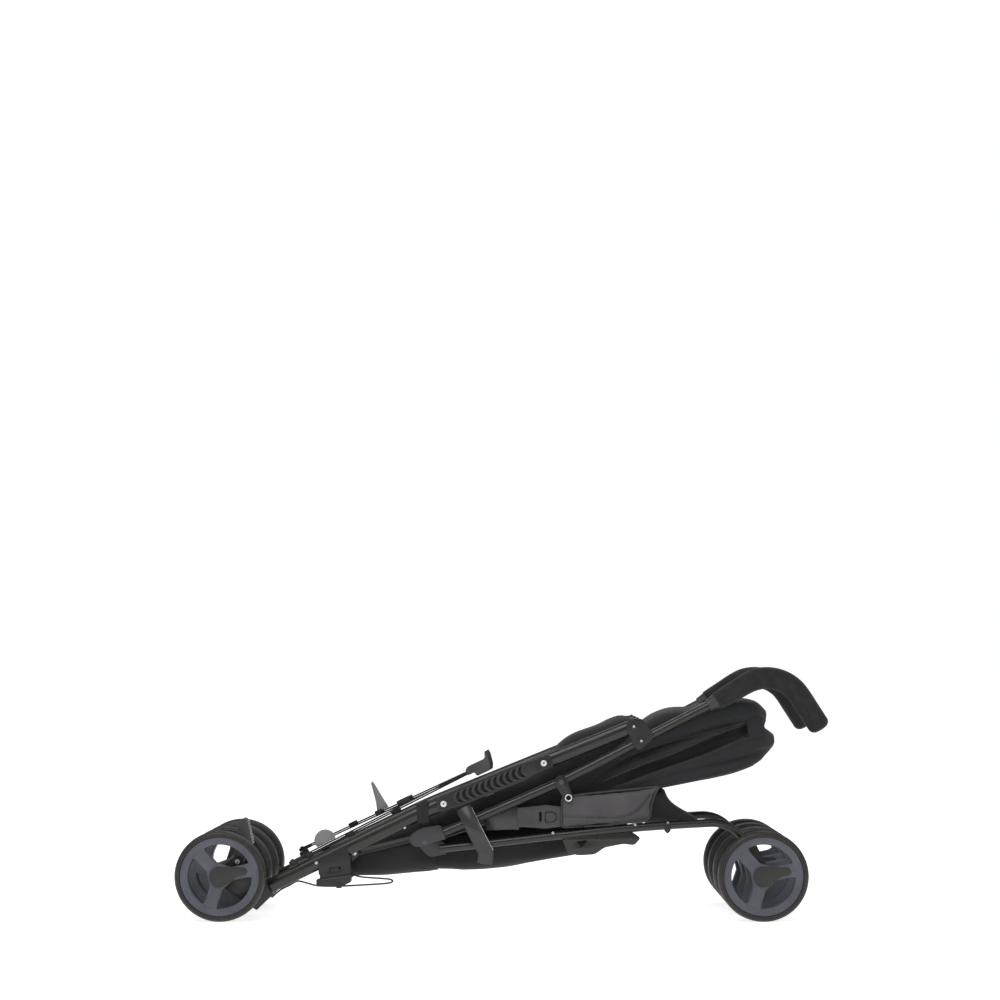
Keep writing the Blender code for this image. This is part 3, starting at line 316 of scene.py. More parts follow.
def refine(node, body, finish, width, segments):
    bm = bmesh.new()                             # a packed plate with its hard edges eased
    bm.from_mesh(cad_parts[node].data)
    bmesh.ops.remove_doubles(bm, verts=bm.verts, dist=2e-6)
    bmesh.ops.dissolve_limit(bm, angle_limit=math.radians(1), verts=bm.verts, edges=bm.edges)
    item = objectFrom(node + "_eased", meshFrom(bm), finishes[finish])
    ease = item.modifiers.new("ease", "BEVEL")
    ease.width = width * mm
    ease.segments = segments
    ease.limit_method = "ANGLE"
    ease.angle_limit = math.radians(35)
    ease.use_clamp_overlap = True
    item = applied(item)
    shadeMesh(item.data, 35)
    carried(item, body, [node])


# materials
def shaded(colour, share=1.0):                   # 0-255 display values made linear, then scaled
    linear = [v / 255 / 12.92 if v / 255 <= 0.04045 else ((v / 255 + 0.055) / 1.055) ** 2.4 for v in colour]
    return (*[v * share for v in linear], 1)


class Surface:
    def __init__(self, name):
        self.material = bpy.data.materials.new(name)
        self.material.use_nodes = True
        self.tree = self.material.node_tree
        self.shader = self.tree.nodes["Principled BSDF"]
        self.place = self.node("ShaderNodeTexCoord").outputs["Object"]
        self.normal = None

    def node(self, kind, **settings):
        made = self.tree.nodes.new(kind)
        for label, value in settings.items():
            setattr(made, label, value)
        return made

    def feed(self, socket, value):
        if isinstance(value, bpy.types.NodeSocket):
            self.tree.links.new(value, socket)
        else:
            socket.default_value = value

    def fixed(self, **values):                   # constants on the shader's own sockets
        for label, value in values.items():
            self.shader.inputs[label.replace("_", " ")].default_value = value

    def mapped(self, turn, stretch=(1, 1, 1)):
        made = self.node("ShaderNodeMapping")
        self.feed(made.inputs["Vector"], self.place)
        made.inputs["Rotation"].default_value = (0, math.radians(turn), 0)
        made.inputs["Scale"].default_value = stretch
        return made.outputs["Vector"]

    def grain(self, scale, detail=3.0, place=None, rough=0.5):
        made = self.node("ShaderNodeTexNoise")
        self.feed(made.inputs["Vector"], place or self.place)
        made.inputs["Scale"].default_value = scale
        made.inputs["Detail"].default_value = detail
        made.inputs["Roughness"].default_value = rough
        return made.outputs["Fac"]

    def cells(self, scale):
        made = self.node("ShaderNodeTexVoronoi")
        self.feed(made.inputs["Vector"], self.place)
        made.inputs["Scale"].default_value = scale
        return made.outputs["Distance"]

    def ranged(self, value, low, high, toLow=0.0, toHigh=1.0):
        made = self.node("ShaderNodeMapRange")
        self.feed(made.inputs["Value"], value)
        for label, number in (("From Min", low), ("From Max", high), ("To Min", toLow), ("To Max", toHigh)):
            made.inputs[label].default_value = number
        return made.outputs["Result"]

    def math(self, operation, first, second=0.0):
        made = self.node("ShaderNodeMath", operation=operation)
        self.feed(made.inputs[0], first)
        self.feed(made.inputs[1], second)
        return made.outputs[0]

    def wave(self, value, factor):
        return self.math("SINE", self.math("MULTIPLY", value, factor))

    def blend(self, share, first, second):
        made = self.node("ShaderNodeMix", data_type="RGBA")
        self.feed(made.inputs["Factor"], share)
        self.feed(made.inputs[6], first)
        self.feed(made.inputs[7], second)
        return made.outputs[2]

    def mottled(self, colour, scale, detail, dark, light):      # the colour in cloudy patches
        patches = self.ranged(self.grain(scale, detail), 0.35, 0.65)
        return self.blend(patches, shaded(colour, dark), shaded(colour, light))

    def raised(self, height, distance, strength=1.0):
        made = self.node("ShaderNodeBump")
        made.inputs["Strength"].default_value = strength
        made.inputs["Distance"].default_value = distance * mm
        self.feed(made.inputs["Height"], height)
        if self.normal is not None:
            self.feed(made.inputs["Normal"], self.normal)
        self.normal = made.outputs["Normal"]
        self.feed(self.shader.inputs["Normal"], self.normal)

    def colour(self, value):
        self.feed(self.shader.inputs["Base Color"], value)

    def rough(self, scale, detail, low, high):
        self.feed(self.shader.inputs["Roughness"], self.ranged(self.grain(scale, detail), 0.3, 0.7, low, high))


def mouldedPlastic(name, colour, roughness, grainDepth=0.05, dust=0.25):
    s = Surface(name)                            # spark-eroded grain, faint flow marks and specks of dust
    specks = s.ranged(s.grain(900, 2), 0.66, 0.74, 0.0, dust)
    s.colour(s.blend(specks, s.mottled(colour, 28, 4, 0.86, 1.12), shaded(colour, 2.2)))
    s.rough(60, 5, roughness - 0.07, roughness + 0.09)
    s.raised(s.grain(1600, 2), grainDepth)
    s.raised(s.grain(14, 2), 0.25, 0.35)
    return s.material


def powderCoat(name, colour, roughness):
    s = Surface(name)                            # black powder coat: orange peel, scuffs along the tubes
    scuff = s.ranged(s.grain(60, 6, s.mapped(24, (0.35, 3, 3)), 0.7), 0.64, 0.74, 0.0, 0.3)
    s.colour(s.blend(scuff, s.mottled(colour, 22, 4, 0.85, 1.15), shaded(colour, 2.6)))
    s.rough(45, 5, roughness - 0.06, roughness + 0.12)
    s.raised(s.grain(700, 2), 0.03)
    s.fixed(Coat_Weight=0.15, Coat_Roughness=0.3)
    return s.material


def tyreRubber(name, colour, dustColour):
    s = Surface(name)
    dust = s.ranged(s.grain(160, 6, None, 0.7), 0.52, 0.72, 0.0, 0.35)
    s.colour(s.blend(dust, s.mottled(colour, 35, 5, 0.85, 1.15), shaded(dustColour)))
    s.rough(80, 4, 0.42, 0.62)
    s.raised(s.grain(1200, 3), 0.07)
    s.raised(s.grain(90, 3), 0.2, 0.4)
    return s.material


def gripFoam(name, colour):
    s = Surface(name)                            # closed-cell foam: fine open pores, painted darker inside as their shade, and a soft bloom
    poreShade = s.ranged(s.cells(1100), 0.0, 0.35, 0.7, 0.0)
    s.colour(s.blend(poreShade, s.mottled(colour, 25, 4, 0.8, 1.2), shaded(colour, 0.4)))
    s.rough(70, 3, 0.74, 0.9)
    s.raised(s.ranged(s.cells(1100), 0.0, 0.5), 0.12)
    s.raised(s.grain(60, 3), 0.3, 0.4)
    s.fixed(Sheen_Weight=0.08, Sheen_Roughness=0.5)
    return s.material


def wovenCloth(name, colour, pitch, turn, sheen=0.12, wrinkle=0.5):
    s = Surface(name)                            # over-and-under threads on crossed directions
    parts = s.node("ShaderNodeSeparateXYZ")
    s.feed(parts.inputs[0], s.mapped(turn))
    waist = s.math("MULTIPLY", parts.outputs["Y"], 0.61)
    warp, weft = (s.wave(s.math("ADD", parts.outputs[axis], waist), math.pi / (pitch * mm)) for axis in "XZ")
    threads = s.ranged(s.math("MULTIPLY", warp, weft), -1.0, 1.0)
    base = s.mottled(colour, 18, 4, 0.82, 1.18)
    # the raised thread crowns are painted lighter: a painted highlight
    s.colour(s.blend(s.math("MULTIPLY", threads, 0.35), base, shaded(colour, 1.9)))
    s.feed(s.shader.inputs["Roughness"], s.ranged(s.grain(240, 6, None, 0.75), 0.62, 0.8, 0.82, 0.94))
    s.raised(threads, 0.10)
    s.raised(s.grain(120, 5, s.mapped(turn, (0.45, 1, 1.6)), 0.6), wrinkle, 0.6)
    s.fixed(Sheen_Weight=sheen, Sheen_Roughness=0.45)
    return s.material


def ribbedWeb(name, colour, pitch):
    s = Surface(name)                            # fine ribs and picks of a woven tape
    parts = s.node("ShaderNodeSeparateXYZ")
    s.feed(parts.inputs[0], s.place)
    cross = s.math("ADD", parts.outputs["Z"], s.math("MULTIPLY", parts.outputs["Y"], 0.7))
    ribs = s.wave(cross, 2 * math.pi / (pitch * mm))
    picks = s.wave(parts.outputs["X"], 2 * math.pi / (pitch * 0.8 * mm))
    threads = s.ranged(s.math("ADD", ribs, s.math("MULTIPLY", picks, 0.5)), -1.5, 1.5)
    base = s.mottled(colour, 30, 4, 0.86, 1.12)
    # the raised ribs are painted lighter: a painted highlight
    s.colour(s.blend(s.math("MULTIPLY", threads, 0.3), base, shaded(colour, 1.5)))
    s.rough(50, 4, 0.52, 0.68)
    s.raised(threads, 0.08)
    s.fixed(Sheen_Weight=0.1)
    return s.material


def brightSteel(name, colour, roughness=0.28):
    s = Surface(name)
    s.fixed(Metallic=1.0)
    s.colour(s.mottled(colour, 200, 5, 0.8, 1.0))
    s.rough(300, 4, roughness - 0.08, roughness + 0.12)
    s.raised(s.grain(1500, 2), 0.02)
    return s.material


finishes = {
    "frameBlack": powderCoat("frame_black", (27, 25, 23), 0.27),
    "armBlack": mouldedPlastic("arm_black", (29, 28, 28), 0.38),
    "plateGrey": mouldedPlastic("plate_grey", (64, 63, 66), 0.42),
    "darkMoulding": mouldedPlastic("dark_moulding", (31, 31, 33), 0.4),
    "paleMoulding": mouldedPlastic("pale_moulding", (150, 150, 152), 0.5),
    "pedalGrey": mouldedPlastic("pedal_grey", (72, 72, 76), 0.46),
    "rimGrey": mouldedPlastic("rim_grey", (96, 98, 107), 0.44),
    "capDark": mouldedPlastic("cap_dark", (47, 47, 45), 0.5),
    "collarGrey": mouldedPlastic("collar_grey", (60, 60, 63), 0.4),
    "buckleGrey": mouldedPlastic("buckle_grey", (69, 68, 68), 0.42),
    # near-black plastic used as painted shade in recesses, gaps and hollows
    "paintedShadeBlack": mouldedPlastic("painted_shade_black", (18, 18, 19), 0.6),
    "satinStrap": mouldedPlastic("satin_strap", (62, 59, 60), 0.26, 0.03, 0.1),
    "cableSheath": mouldedPlastic("cable_sheath", (52, 51, 50), 0.38, 0.03),
    "tyre": tyreRubber("tyre_rubber", (50, 48, 47), (112, 106, 98)),
    "foam": gripFoam("grip_foam", (33, 33, 35)),
    "hood": wovenCloth("hood_cloth", (35, 36, 38), 0.8, 20, sheen=0.16),
    "seat": wovenCloth("seat_cloth", (30, 29, 30), 1.0, 23),
    "basket": wovenCloth("basket_cloth", (28, 27, 27), 1.1, 4),
    "padCloth": wovenCloth("pad_cloth", (84, 82, 84), 1.1, -8, sheen=0.2, wrinkle=0.7),
    "piping": ribbedWeb("piping_tape", (62, 61, 63), 0.9),
    "thread": ribbedWeb("sewing_thread", (70, 70, 72), 0.5),
    "steel": brightSteel("bright_steel", (205, 205, 208)),
    "darkSteel": brightSteel("dark_steel", (92, 92, 94), 0.34),
    "whiteRivet": brightSteel("zinc_rivet", (235, 235, 235), 0.35),
}
print("materials made:", len(finishes))


# Geometry Nodes trees for what repeats
def newTree(name, inputs):
    tree = bpy.data.node_groups.new(name, "GeometryNodeTree")
    tree.interface.new_socket("Geometry", in_out="INPUT", socket_type="NodeSocketGeometry")
    for label, kind, value in inputs:
        socket = tree.interface.new_socket(label, in_out="INPUT", socket_type="NodeSocket" + kind)
        if value is not None:
            socket.default_value = value
    tree.interface.new_socket("Material", in_out="INPUT", socket_type="NodeSocketMaterial")
    tree.interface.new_socket("Geometry", in_out="OUTPUT", socket_type="NodeSocketGeometry")
    return tree, tree.nodes.new("NodeGroupInput"), tree.nodes.new("NodeGroupOutput")


def treeNode(tree, kind, settings=None, **inputs):
    made = tree.nodes.new(kind)
    for label, value in (settings or {}).items():
        setattr(made, label, value)
    for label, value in inputs.items():
        socket = made.inputs[label.replace("_", " ")]
        if isinstance(value, bpy.types.NodeSocket):
            tree.links.new(value, socket)
        else:
            socket.default_value = value
    return made


def finishTree(tree, shape, entry, exit_):
    real = treeNode(tree, "GeometryNodeRealizeInstances", Geometry=shape)
    smooth = treeNode(tree, "GeometryNodeSetShadeSmooth", Geometry=real.outputs[0])
    dressed = treeNode(tree, "GeometryNodeSetMaterial", Geometry=smooth.outputs[0],
                       Material=entry.outputs["Material"])
    tree.links.new(dressed.outputs[0], exit_.inputs["Geometry"])
    return tree


def grown(name, host, tree, finish, values, sharp=40):
    holder = linked(name, host)
    change = holder.modifiers.new("grow", "NODES")
    change.node_group = tree
    values = {**values, "Material": finishes[finish]}
    for item in tree.interface.items_tree:
        if item.in_out == "INPUT" and item.name in values:
            change[item.identifier] = values[item.name]
    mesh = meshOf(holder)
    bpy.data.objects.remove(holder)
    mesh.set_sharp_from_angle(angle=math.radians(sharp))
    return objectFrom(name, mesh, finishes[finish])


def lineMesh(lines, closed=False):               # host of edges along one or more lines
    mesh = bpy.data.meshes.new("line")
    points, edges = [], []
    for line in lines:
        first = len(points)
        points += line
        edges += [(first + i, first + i + 1) for i in range(len(line) - 1)]
        if closed:
            edges.append((len(points) - 1, first))
    mesh.from_pydata(points, edges, [])
    return mesh


def pointsMesh(places):
    mesh = bpy.data.meshes.new("points")
    mesh.from_pydata(places, [], [])
    return mesh


def makeRivetTree():
    tree, entry, exit_ = newTree("rivets", [
        ("Head Radius", "Float", 3.2 * mm), ("Head Height", "Float", 1.4 * mm),
        ("Washer Radius", "Float", 4.6 * mm), ("Washer Height", "Float", 0.8 * mm),
        ("Turn", "Vector", (math.radians(90), 0, 0)),
    ])
    washer = treeNode(tree, "GeometryNodeMeshCylinder", Vertices=20, Radius=entry.outputs["Washer Radius"],
                      Depth=entry.outputs["Washer Height"])
    ball = treeNode(tree, "GeometryNodeMeshUVSphere", Segments=20, Rings=8,
                    Radius=entry.outputs["Head Radius"])
    ratio = treeNode(tree, "ShaderNodeMath", {"operation": "DIVIDE"})
    tree.links.new(entry.outputs["Head Height"], ratio.inputs[0])
    tree.links.new(entry.outputs["Head Radius"], ratio.inputs[1])
    squat = treeNode(tree, "ShaderNodeCombineXYZ", X=1.0, Y=1.0, Z=ratio.outputs[0])
    dome = treeNode(tree, "GeometryNodeTransform", Geometry=ball.outputs["Mesh"], Scale=squat.outputs[0])
    rivet = tree.nodes.new("GeometryNodeJoinGeometry")
    tree.links.new(washer.outputs["Mesh"], rivet.inputs[0])
    tree.links.new(dome.outputs[0], rivet.inputs[0])
    turned = treeNode(tree, "GeometryNodeTransform", Geometry=rivet.outputs[0],
                      Rotation=entry.outputs["Turn"])
    placed = treeNode(tree, "GeometryNodeInstanceOnPoints", Points=entry.outputs["Geometry"],
                      Instance=turned.outputs[0])
    return finishTree(tree, placed.outputs[0], entry, exit_)


def makeTyreTree():
    tree, entry, exit_ = newTree("tyre", [
        ("Segments", "Int", 96), ("Centre", "Vector", (0, 0, 0)), ("Radius", "Float", 0.01),
    ])
    circle = treeNode(tree, "GeometryNodeCurvePrimitiveCircle", Resolution=entry.outputs["Segments"],
                      Radius=entry.outputs["Radius"])
    profile = treeNode(tree, "GeometryNodeMeshToCurve", Mesh=entry.outputs["Geometry"])
    swept = treeNode(tree, "GeometryNodeCurveToMesh", Curve=circle.outputs["Curve"],
                     Profile_Curve=profile.outputs[0])
    upright = treeNode(tree, "GeometryNodeTransform", Geometry=swept.outputs[0],
                       Rotation=(math.radians(90), 0, 0), Translation=entry.outputs["Centre"])
    return finishTree(tree, upright.outputs[0], entry, exit_)


def makeStitchTree():
    tree, entry, exit_ = newTree("stitches", [
        ("Pitch", "Float", 4 * mm), ("Length", "Float", 2.6 * mm), ("Thickness", "Float", 0.45 * mm),
    ])
    line = treeNode(tree, "GeometryNodeMeshToCurve", Mesh=entry.outputs["Geometry"])
    spaced = treeNode(tree, "GeometryNodeCurveToPoints", {"mode": "LENGTH"}, Curve=line.outputs[0],
                      Length=entry.outputs["Pitch"])
    stitch = treeNode(tree, "GeometryNodeMeshCylinder", Vertices=6, Radius=entry.outputs["Thickness"],
                      Depth=entry.outputs["Length"])
    aligned = treeNode(tree, "FunctionNodeAlignRotationToVector", {"axis": "Z"},
                       Vector=spaced.outputs["Tangent"])
    placed = treeNode(tree, "GeometryNodeInstanceOnPoints", Points=spaced.outputs["Points"],
                      Instance=stitch.outputs["Mesh"], Rotation=aligned.outputs[0])
    return finishTree(tree, placed.outputs[0], entry, exit_)


def makeCrescentTree():
    tree, entry, exit_ = newTree("crescents", [
        ("Count", "Int", 9), ("Start", "Vector", (0, 0, 0)), ("Step", "Vector", (0.01, 0, 0)),
        ("Radius", "Float", 9 * mm), ("Sweep", "Float", 2.6), ("Thickness", "Float", 1.5 * mm),
        ("Turn", "Vector", (0, 0, 0)),
    ])
    arc = treeNode(tree, "GeometryNodeCurveArc", {"mode": "RADIUS"}, Resolution=18,
                   Radius=entry.outputs["Radius"], Sweep_Angle=entry.outputs["Sweep"])
    wire = treeNode(tree, "GeometryNodeCurvePrimitiveCircle", Resolution=10, Radius=entry.outputs["Thickness"])
    rib = treeNode(tree, "GeometryNodeCurveToMesh", Curve=arc.outputs[0], Profile_Curve=wire.outputs[0],
                   Fill_Caps=True)
    turned = treeNode(tree, "GeometryNodeTransform", Geometry=rib.outputs[0], Rotation=entry.outputs["Turn"])
    row = treeNode(tree, "GeometryNodeMeshLine", {"mode": "OFFSET"}, Count=entry.outputs["Count"],
                   Start_Location=entry.outputs["Start"], Offset=entry.outputs["Step"])
    placed = treeNode(tree, "GeometryNodeInstanceOnPoints", Points=row.outputs[0], Instance=turned.outputs[0])
    return finishTree(tree, placed.outputs[0], entry, exit_)


rivetTree, tyreTree = makeRivetTree(), makeTyreTree()
stitchTree, crescentTree = makeStitchTree(), makeCrescentTree()


def addRivets(name, body, places, head, height, washer, washerHeight, finish="steel", slotName="bright_steel"):
    carried(grown(name, pointsMesh(places), rivetTree, finish, {
        "Head Radius": head * mm, "Head Height": height * mm, "Washer Radius": washer * mm,
        "Washer Height": washerHeight * mm, "Turn": (math.radians(90), 0, 0),
    }), body)


# camera, light and floor
view = {
    "place": (0.032, -3.27, 0.426), "lens": 68.2, "shiftX": -0.022, "shiftY": 0.165,
    "skyLight": 0.34, "floorGlow": 0.77, "floorSize": 30,
    "lamps": {                                   # place, aim, size and power
        "key": ((-0.9, -1.9, 2.5), (0, 0, 0.15), 2.2, 34),
        "fill": ((1.9, -2.2, 1.2), (0, 0, 0.15), 1.8, 8),
        "back": ((0.4, 2.0, 2.2), (0, 0, 0.2), 2.0, 14),
    },
}


def makeCamera():
    camera = linked("camera", bpy.data.cameras.new("camera"))
    camera.data.lens = view["lens"]
    camera.data.sensor_width = 36
    camera.data.shift_x, camera.data.shift_y = view["shiftX"], view["shiftY"]
    camera.data.clip_end = 100
    camera.location = view["place"]
    camera.rotation_euler = (math.radians(90), 0, 0)
    bpy.context.scene.camera = camera


def makeLamps():
    for name, (place, aim, size, power) in view["lamps"].items():
        lamp = linked(name, bpy.data.lights.new(name, "AREA"))
        lamp.data.shape = "RECTANGLE"
        lamp.data.size, lamp.data.size_y = size, size * 0.7
        lamp.data.energy = power
        lamp.location = place
        lamp.rotation_euler = (Vector(aim) - Vector(place)).to_track_quat("-Z", "Y").to_euler()


def larger(tree, first, second):                 # 1 where either kind of ray arrives
    rays = tree.nodes.new("ShaderNodeLightPath")
    made = tree.nodes.new("ShaderNodeMath")
    made.operation = "MAXIMUM"
    tree.links.new(rays.outputs[first], made.inputs[0])
    tree.links.new(rays.outputs[second], made.inputs[1])
    return made.outputs[0]


def makeFloor():
    s = Surface("studio_floor")
    s.fixed(Base_Color=(0.86, 0.86, 0.86, 1), Roughness=0.9, Specular_IOR_Level=0.1,
            Emission_Color=(1, 1, 1, 1))
    seen = larger(s.tree, "Is Camera Ray", "Is Glossy Ray")
    s.feed(s.shader.inputs["Emission Strength"], s.math("MULTIPLY", seen, view["floorGlow"]))
    bm = bmesh.new()
    bmesh.ops.create_grid(bm, x_segments=8, y_segments=8, size=view["floorSize"])
    floor = objectFrom("studio_floor", meshFrom(bm), s.material)


def makeSky():
    world = bpy.data.worlds.new("studio")
    world.use_nodes = True
    bpy.context.scene.world = world
    tree = world.node_tree
    background = tree.nodes["Background"]
    background.inputs["Color"].default_value = (1, 1, 1, 1)
    strength = tree.nodes.new("ShaderNodeMapRange")
    strength.inputs["To Min"].default_value = view["skyLight"]
    strength.inputs["To Max"].default_value = 1.0
    tree.links.new(larger(tree, "Is Camera Ray", "Is Transmission Ray"), strength.inputs["Value"])
    tree.links.new(strength.outputs[0], background.inputs["Strength"])


makeCamera()
makeFloor()
makeLamps()
makeSky()
bpy.context.scene.view_settings.view_transform = "Standard"
print("stage set")


# wheels
wheel = {
    "tyreRadius": 75.35, "tyreSegments": 96, "fromFrame": 41, "window": 53.0, "rimOverlap": 0.8,
    "spokeAngle": 12, "spokeHalf": 10.5, "spokeRoot": 20, "spokeBend": 46, "bendCorner": 5, "flare": 13.8,
    "hub": 19.0, "hubCorner": 3.5, "faceLow": 3.6, "faceHigh": 8.2, "faceEdge": 1.3,
    "webHalf": 4, "webRoot": 12, "webTip": 53.5, "webEdge": 0.6, "drumFrom": 5, "drumTo": 18.2,
    "bore": 4.0, "drum": 12, "drumFull": 13, "capLow": 7.0, "capHigh": 11.9, "capEdge": 0.9, "capDisc": 17,
    "turned": {"rear_inner_near": 50, "rear_inner_far": 87, "rear_outer_far": 107},
    "tread": [                                   # (across, radius) of one half, from the tread's middle
        (0, 0.0), (2.6, 0.0), (3.3, -0.1), (3.6, -1.5), (4.6, -1.5), (4.9, -0.2), (7.6, -0.5), (9.4, -1.2),
        (10.8, -2.4), (11.6, -3.6), (12.3, -4.9), (11.7, -5.4), (11.8, -6.1), (12.6, -6.5), (12.9, -7.4),
        (12.6, -8.4), (11.5, -9.0), (8.3, -9.2), (8.1, -12.2),
    ],
    "lip": [(8.0, 62.9), (8.5, 65.5), (9.2, 66.0), (10.0, 65.4), (10.1, 63.8), (9.0, 61.4), (8.3, 58.0),
            (7.9, 55.0), (7.4, 53.4), (6.4, 53.0), (4.0, 53.0)],
    "capArm": [(34, 15.6), (40.5, 14.6), (44.6, 11.5), (44.8, 7.0), (42, 3.6), (36, 2.4), (29, 0.4),
               (23.5, -4.0), (19.5, -9.5)],
    "capBack": [(6, 17.0), (20, 16.6)],
}


def tyreHost():
    section = wheel["tread"] + [(-x, r) for x, r in wheel["tread"][:0:-1]]
    return lineMesh([[Vector((r * mm, x * mm, 0)) for x, r in section]], closed=True)


def spokeOutline(centre, turn):
    half, flare, rim = wheel["spokeHalf"], wheel["flare"], wheel["window"] + wheel["rimOverlap"]
    root, bow, soft = wheel["spokeRoot"], wheel["spokeBend"], wheel["bendCorner"]
    edge = ((root, -half, 0), (bow, -half, soft), (rim, -flare, 0))
    marks = [*edge, *[(r, -w, corner) for r, w, corner in edge[::-1]]]
    points, radii = [], []
    for angle in (turn, turn + 120, turn + 240):
        along = heading(angle)
        for r, w, corner in marks:
            points.append(centre + (along * r + squareTo(along) * w) * mm)
            radii.append(corner)
        points.append(centre + heading(angle + 60) * wheel["hub"] * mm)
        radii.append(wheel["hubCorner"])
    return rounded(points, radii)


def capOutline():
    disc = [heading(a) * wheel["capDisc"] for a in range(-40, -261, -12)]
    outline = [*wheel["capArm"], *disc, *wheel["capBack"]]
    return [p * mm for p in smoothLine(outline, 3)[:-1]][::-1]


def makeWheel(name, centre, middle, face):       # face is 1 when the dressed face looks towards +Y
    body, turn = "wheel_" + name, wheel["turned"].get(name, wheel["spokeAngle"])
    spot = Vector((centre[0], middle, centre[1]))
    tyre = grown(f"tyre_{name}_skin", tyreHost(), tyreTree, "tyre", {
        "Segments": wheel["tyreSegments"], "Centre": spot, "Radius": wheel["tyreRadius"] * mm,
    }, sharp=38)
    carried(tyre, body, [f"tyre_{name}"])

    def addFace(outline, low, high, edge):       # a plate of the wheel, in millimetres from its middle
        low, high = sorted((low, high))
        addPlate(bm, outline, middle + low * mm, middle + high * mm, edge * mm)

    bm = bmesh.new()
    lip = wheel["lip"]
    addLathe(bm, lip + [(0, 54.2)] + [(-y, r) for y, r in lip[::-1]], spot, 96)
    for way in (1, -1):
        addFace(spokeOutline(centre, turn), wheel["faceLow"] * way, wheel["faceHigh"] * way, wheel["faceEdge"])
    half, root, tip = wheel["webHalf"], wheel["webRoot"], wheel["webTip"]
    for angle in (turn, turn + 120, turn + 240):                # the web that joins each spoke's two faces
        along = heading(angle)
        corners = [centre + (along * r + squareTo(along) * w) * mm
                   for r, w in ((root, -half), (tip, -half), (tip, half), (root, half))]
        addFace(corners, -half, half, wheel["webEdge"])
    low, high = sorted((face * wheel["drumFrom"], -face * wheel["drumTo"]))
    bore, drum, full = wheel["bore"], wheel["drum"], wheel["drumFull"]
    addLathe(bm, [(low, bore), (low, drum), (low + 1, full), (high - 1, full), (high, drum), (high, bore)],
             spot, 48)
    settle(f"rim_{name}_spoked", bm, "rimGrey", body, [f"rim_{name}"])
    bm = bmesh.new()
    spin = Matrix.Rotation(math.radians(turn - wheel["spokeAngle"]), 2)
    addFace([centre + spin @ p for p in capOutline()], face * wheel["capLow"], face * wheel["capHigh"],
            wheel["capEdge"])
    settle(f"hub_cap_{name}", bm, "capDark", body)


for tag, side in sides.items():
    for end in ("rear", "front"):
        for place, outwards in (("outer", 1), ("inner", -1)):
            middle = rowY(side, outwards * wheel["fromFrame"])
            makeWheel(f"{end}_{place}_{tag}", spots[end + "Axle"], middle, side * outwards)
print("wheels made")


# frame tubes
tubes = {
    "rearWidth": 16, "rearDepth": 24, "handle": 16, "front": 14, "pin": 6, "hookBend": 62,
    "blockTop": {"near": 16.0, "far": 22.4},
    "bow": [(-8, 0), (80, 1.2), (180, 3.0), (290, 4.0), (375, 2.6), (440, 0.2)],
    "rest": [(198, -2), (205, -26), (222, -33), (250, -34), (268, -24), (300, -21), (318, -25), (330, -14),
             (316, -2)],
    "restHole": [(222, -9), (240, -9), (229, -20)],
}


def rearLegLine():
    corner = bend(rearLow.at(rearLow.length - 30 * mm), spots["rearBend"], rearHigh.mark(30))
    return [rearLow.start, rearLow.mark(120), *corner, rearHigh.mark(200), rearHigh.mark(398)]


def handleLine():
    corner = bend(handleLow.mark(225), spots["elbow"], handleHigh.mark(24))
    return [handleLow.mark(35), handleLow.mark(130), *corner, handleHigh.mark(150), handleHigh.mark(290)]


def frontLine():
    reach = tubes["hookBend"] * mm
    centre = spots["frontBend"] - squareTo(heading(5)) * reach
    arc = [centre + squareTo(heading(5 - 55 * i / 14)) * reach for i in range(15)]
    return smoothLine(frontRun.marks(tubes["bow"]), 5) + arc + [spots["swivelTop"]]


for tag, side in sides.items():
    bm = bmesh.new()
    addTube(bm, sidePath(side, rearLegLine()), tubes["rearWidth"], tubes["rearDepth"])
    top = tubes["blockTop"][tag]
    block = rearLow.marks([(43, 11), (61, 11), (60, top), (44, top)])
    addSidePlate(bm, side, rounded(block, 1.5), -6, 6, 0.8)
    addTube(bm, sidePath(side, rearLow.marks([(52, top - 2), (52, top + 8.4)])), tubes["pin"])
    settle(f"rear_leg_{tag}_tube", bm, "frameBlack", f"rear_leg_{tag}", [f"rear_leg_{tag}"])
    bm = bmesh.new()
    addTube(bm, sidePath(side, handleLine()), tubes["handle"])
    settle(f"handle_{tag}_tube", bm, "frameBlack", f"handle_{tag}", [f"handle_tube_{tag}"])
    bm = bmesh.new()
    addTube(bm, sidePath(side, frontLine()), tubes["front"])
    hub = hull(ringOf(spots["knee"], 14), ringOf(spots["knee"] + mmAt(12, -13), 13),
               frontRun.marks([(2, 8), (2, -10)]))
    addSidePlate(bm, side, hub, -9.7, -0.2, 1.2)
    hole = rounded(frontRun.marks(tubes["restHole"]), 2)
    addSidePlate(bm, side, rounded(frontRun.marks(tubes["rest"]), 5), -3, 5, 1.0, [hole])
    settle(f"front_leg_{tag}_tube", bm, "frameBlack", f"front_leg_{tag}", [f"front_leg_{tag}"])
print("frame tubes made")


# foam grips
grip = {
    "start": 30, "full": 37, "tip": 11.5, "tipSteps": 8, "swellSteps": 20, "mouth": 0.86,
    "line": [(359.7, 364.9), (376.3, 374.9), (392.9, 384.8), (409.5, 394.8), (424.9, 401.6), (441.5, 404.2),
             (458.3, 402.5), (474.1, 396.7), (487.9, 387), (498.8, 374.2), (509, 358.5), (519.1, 342.9),
             (529.3, 327.2)],
    "collar": [(-17, 20), (-16.4, 21.5), (-12, 22.5), (-4, 26), (3, 29), (5, 30.5), (5.8, 28)],
}

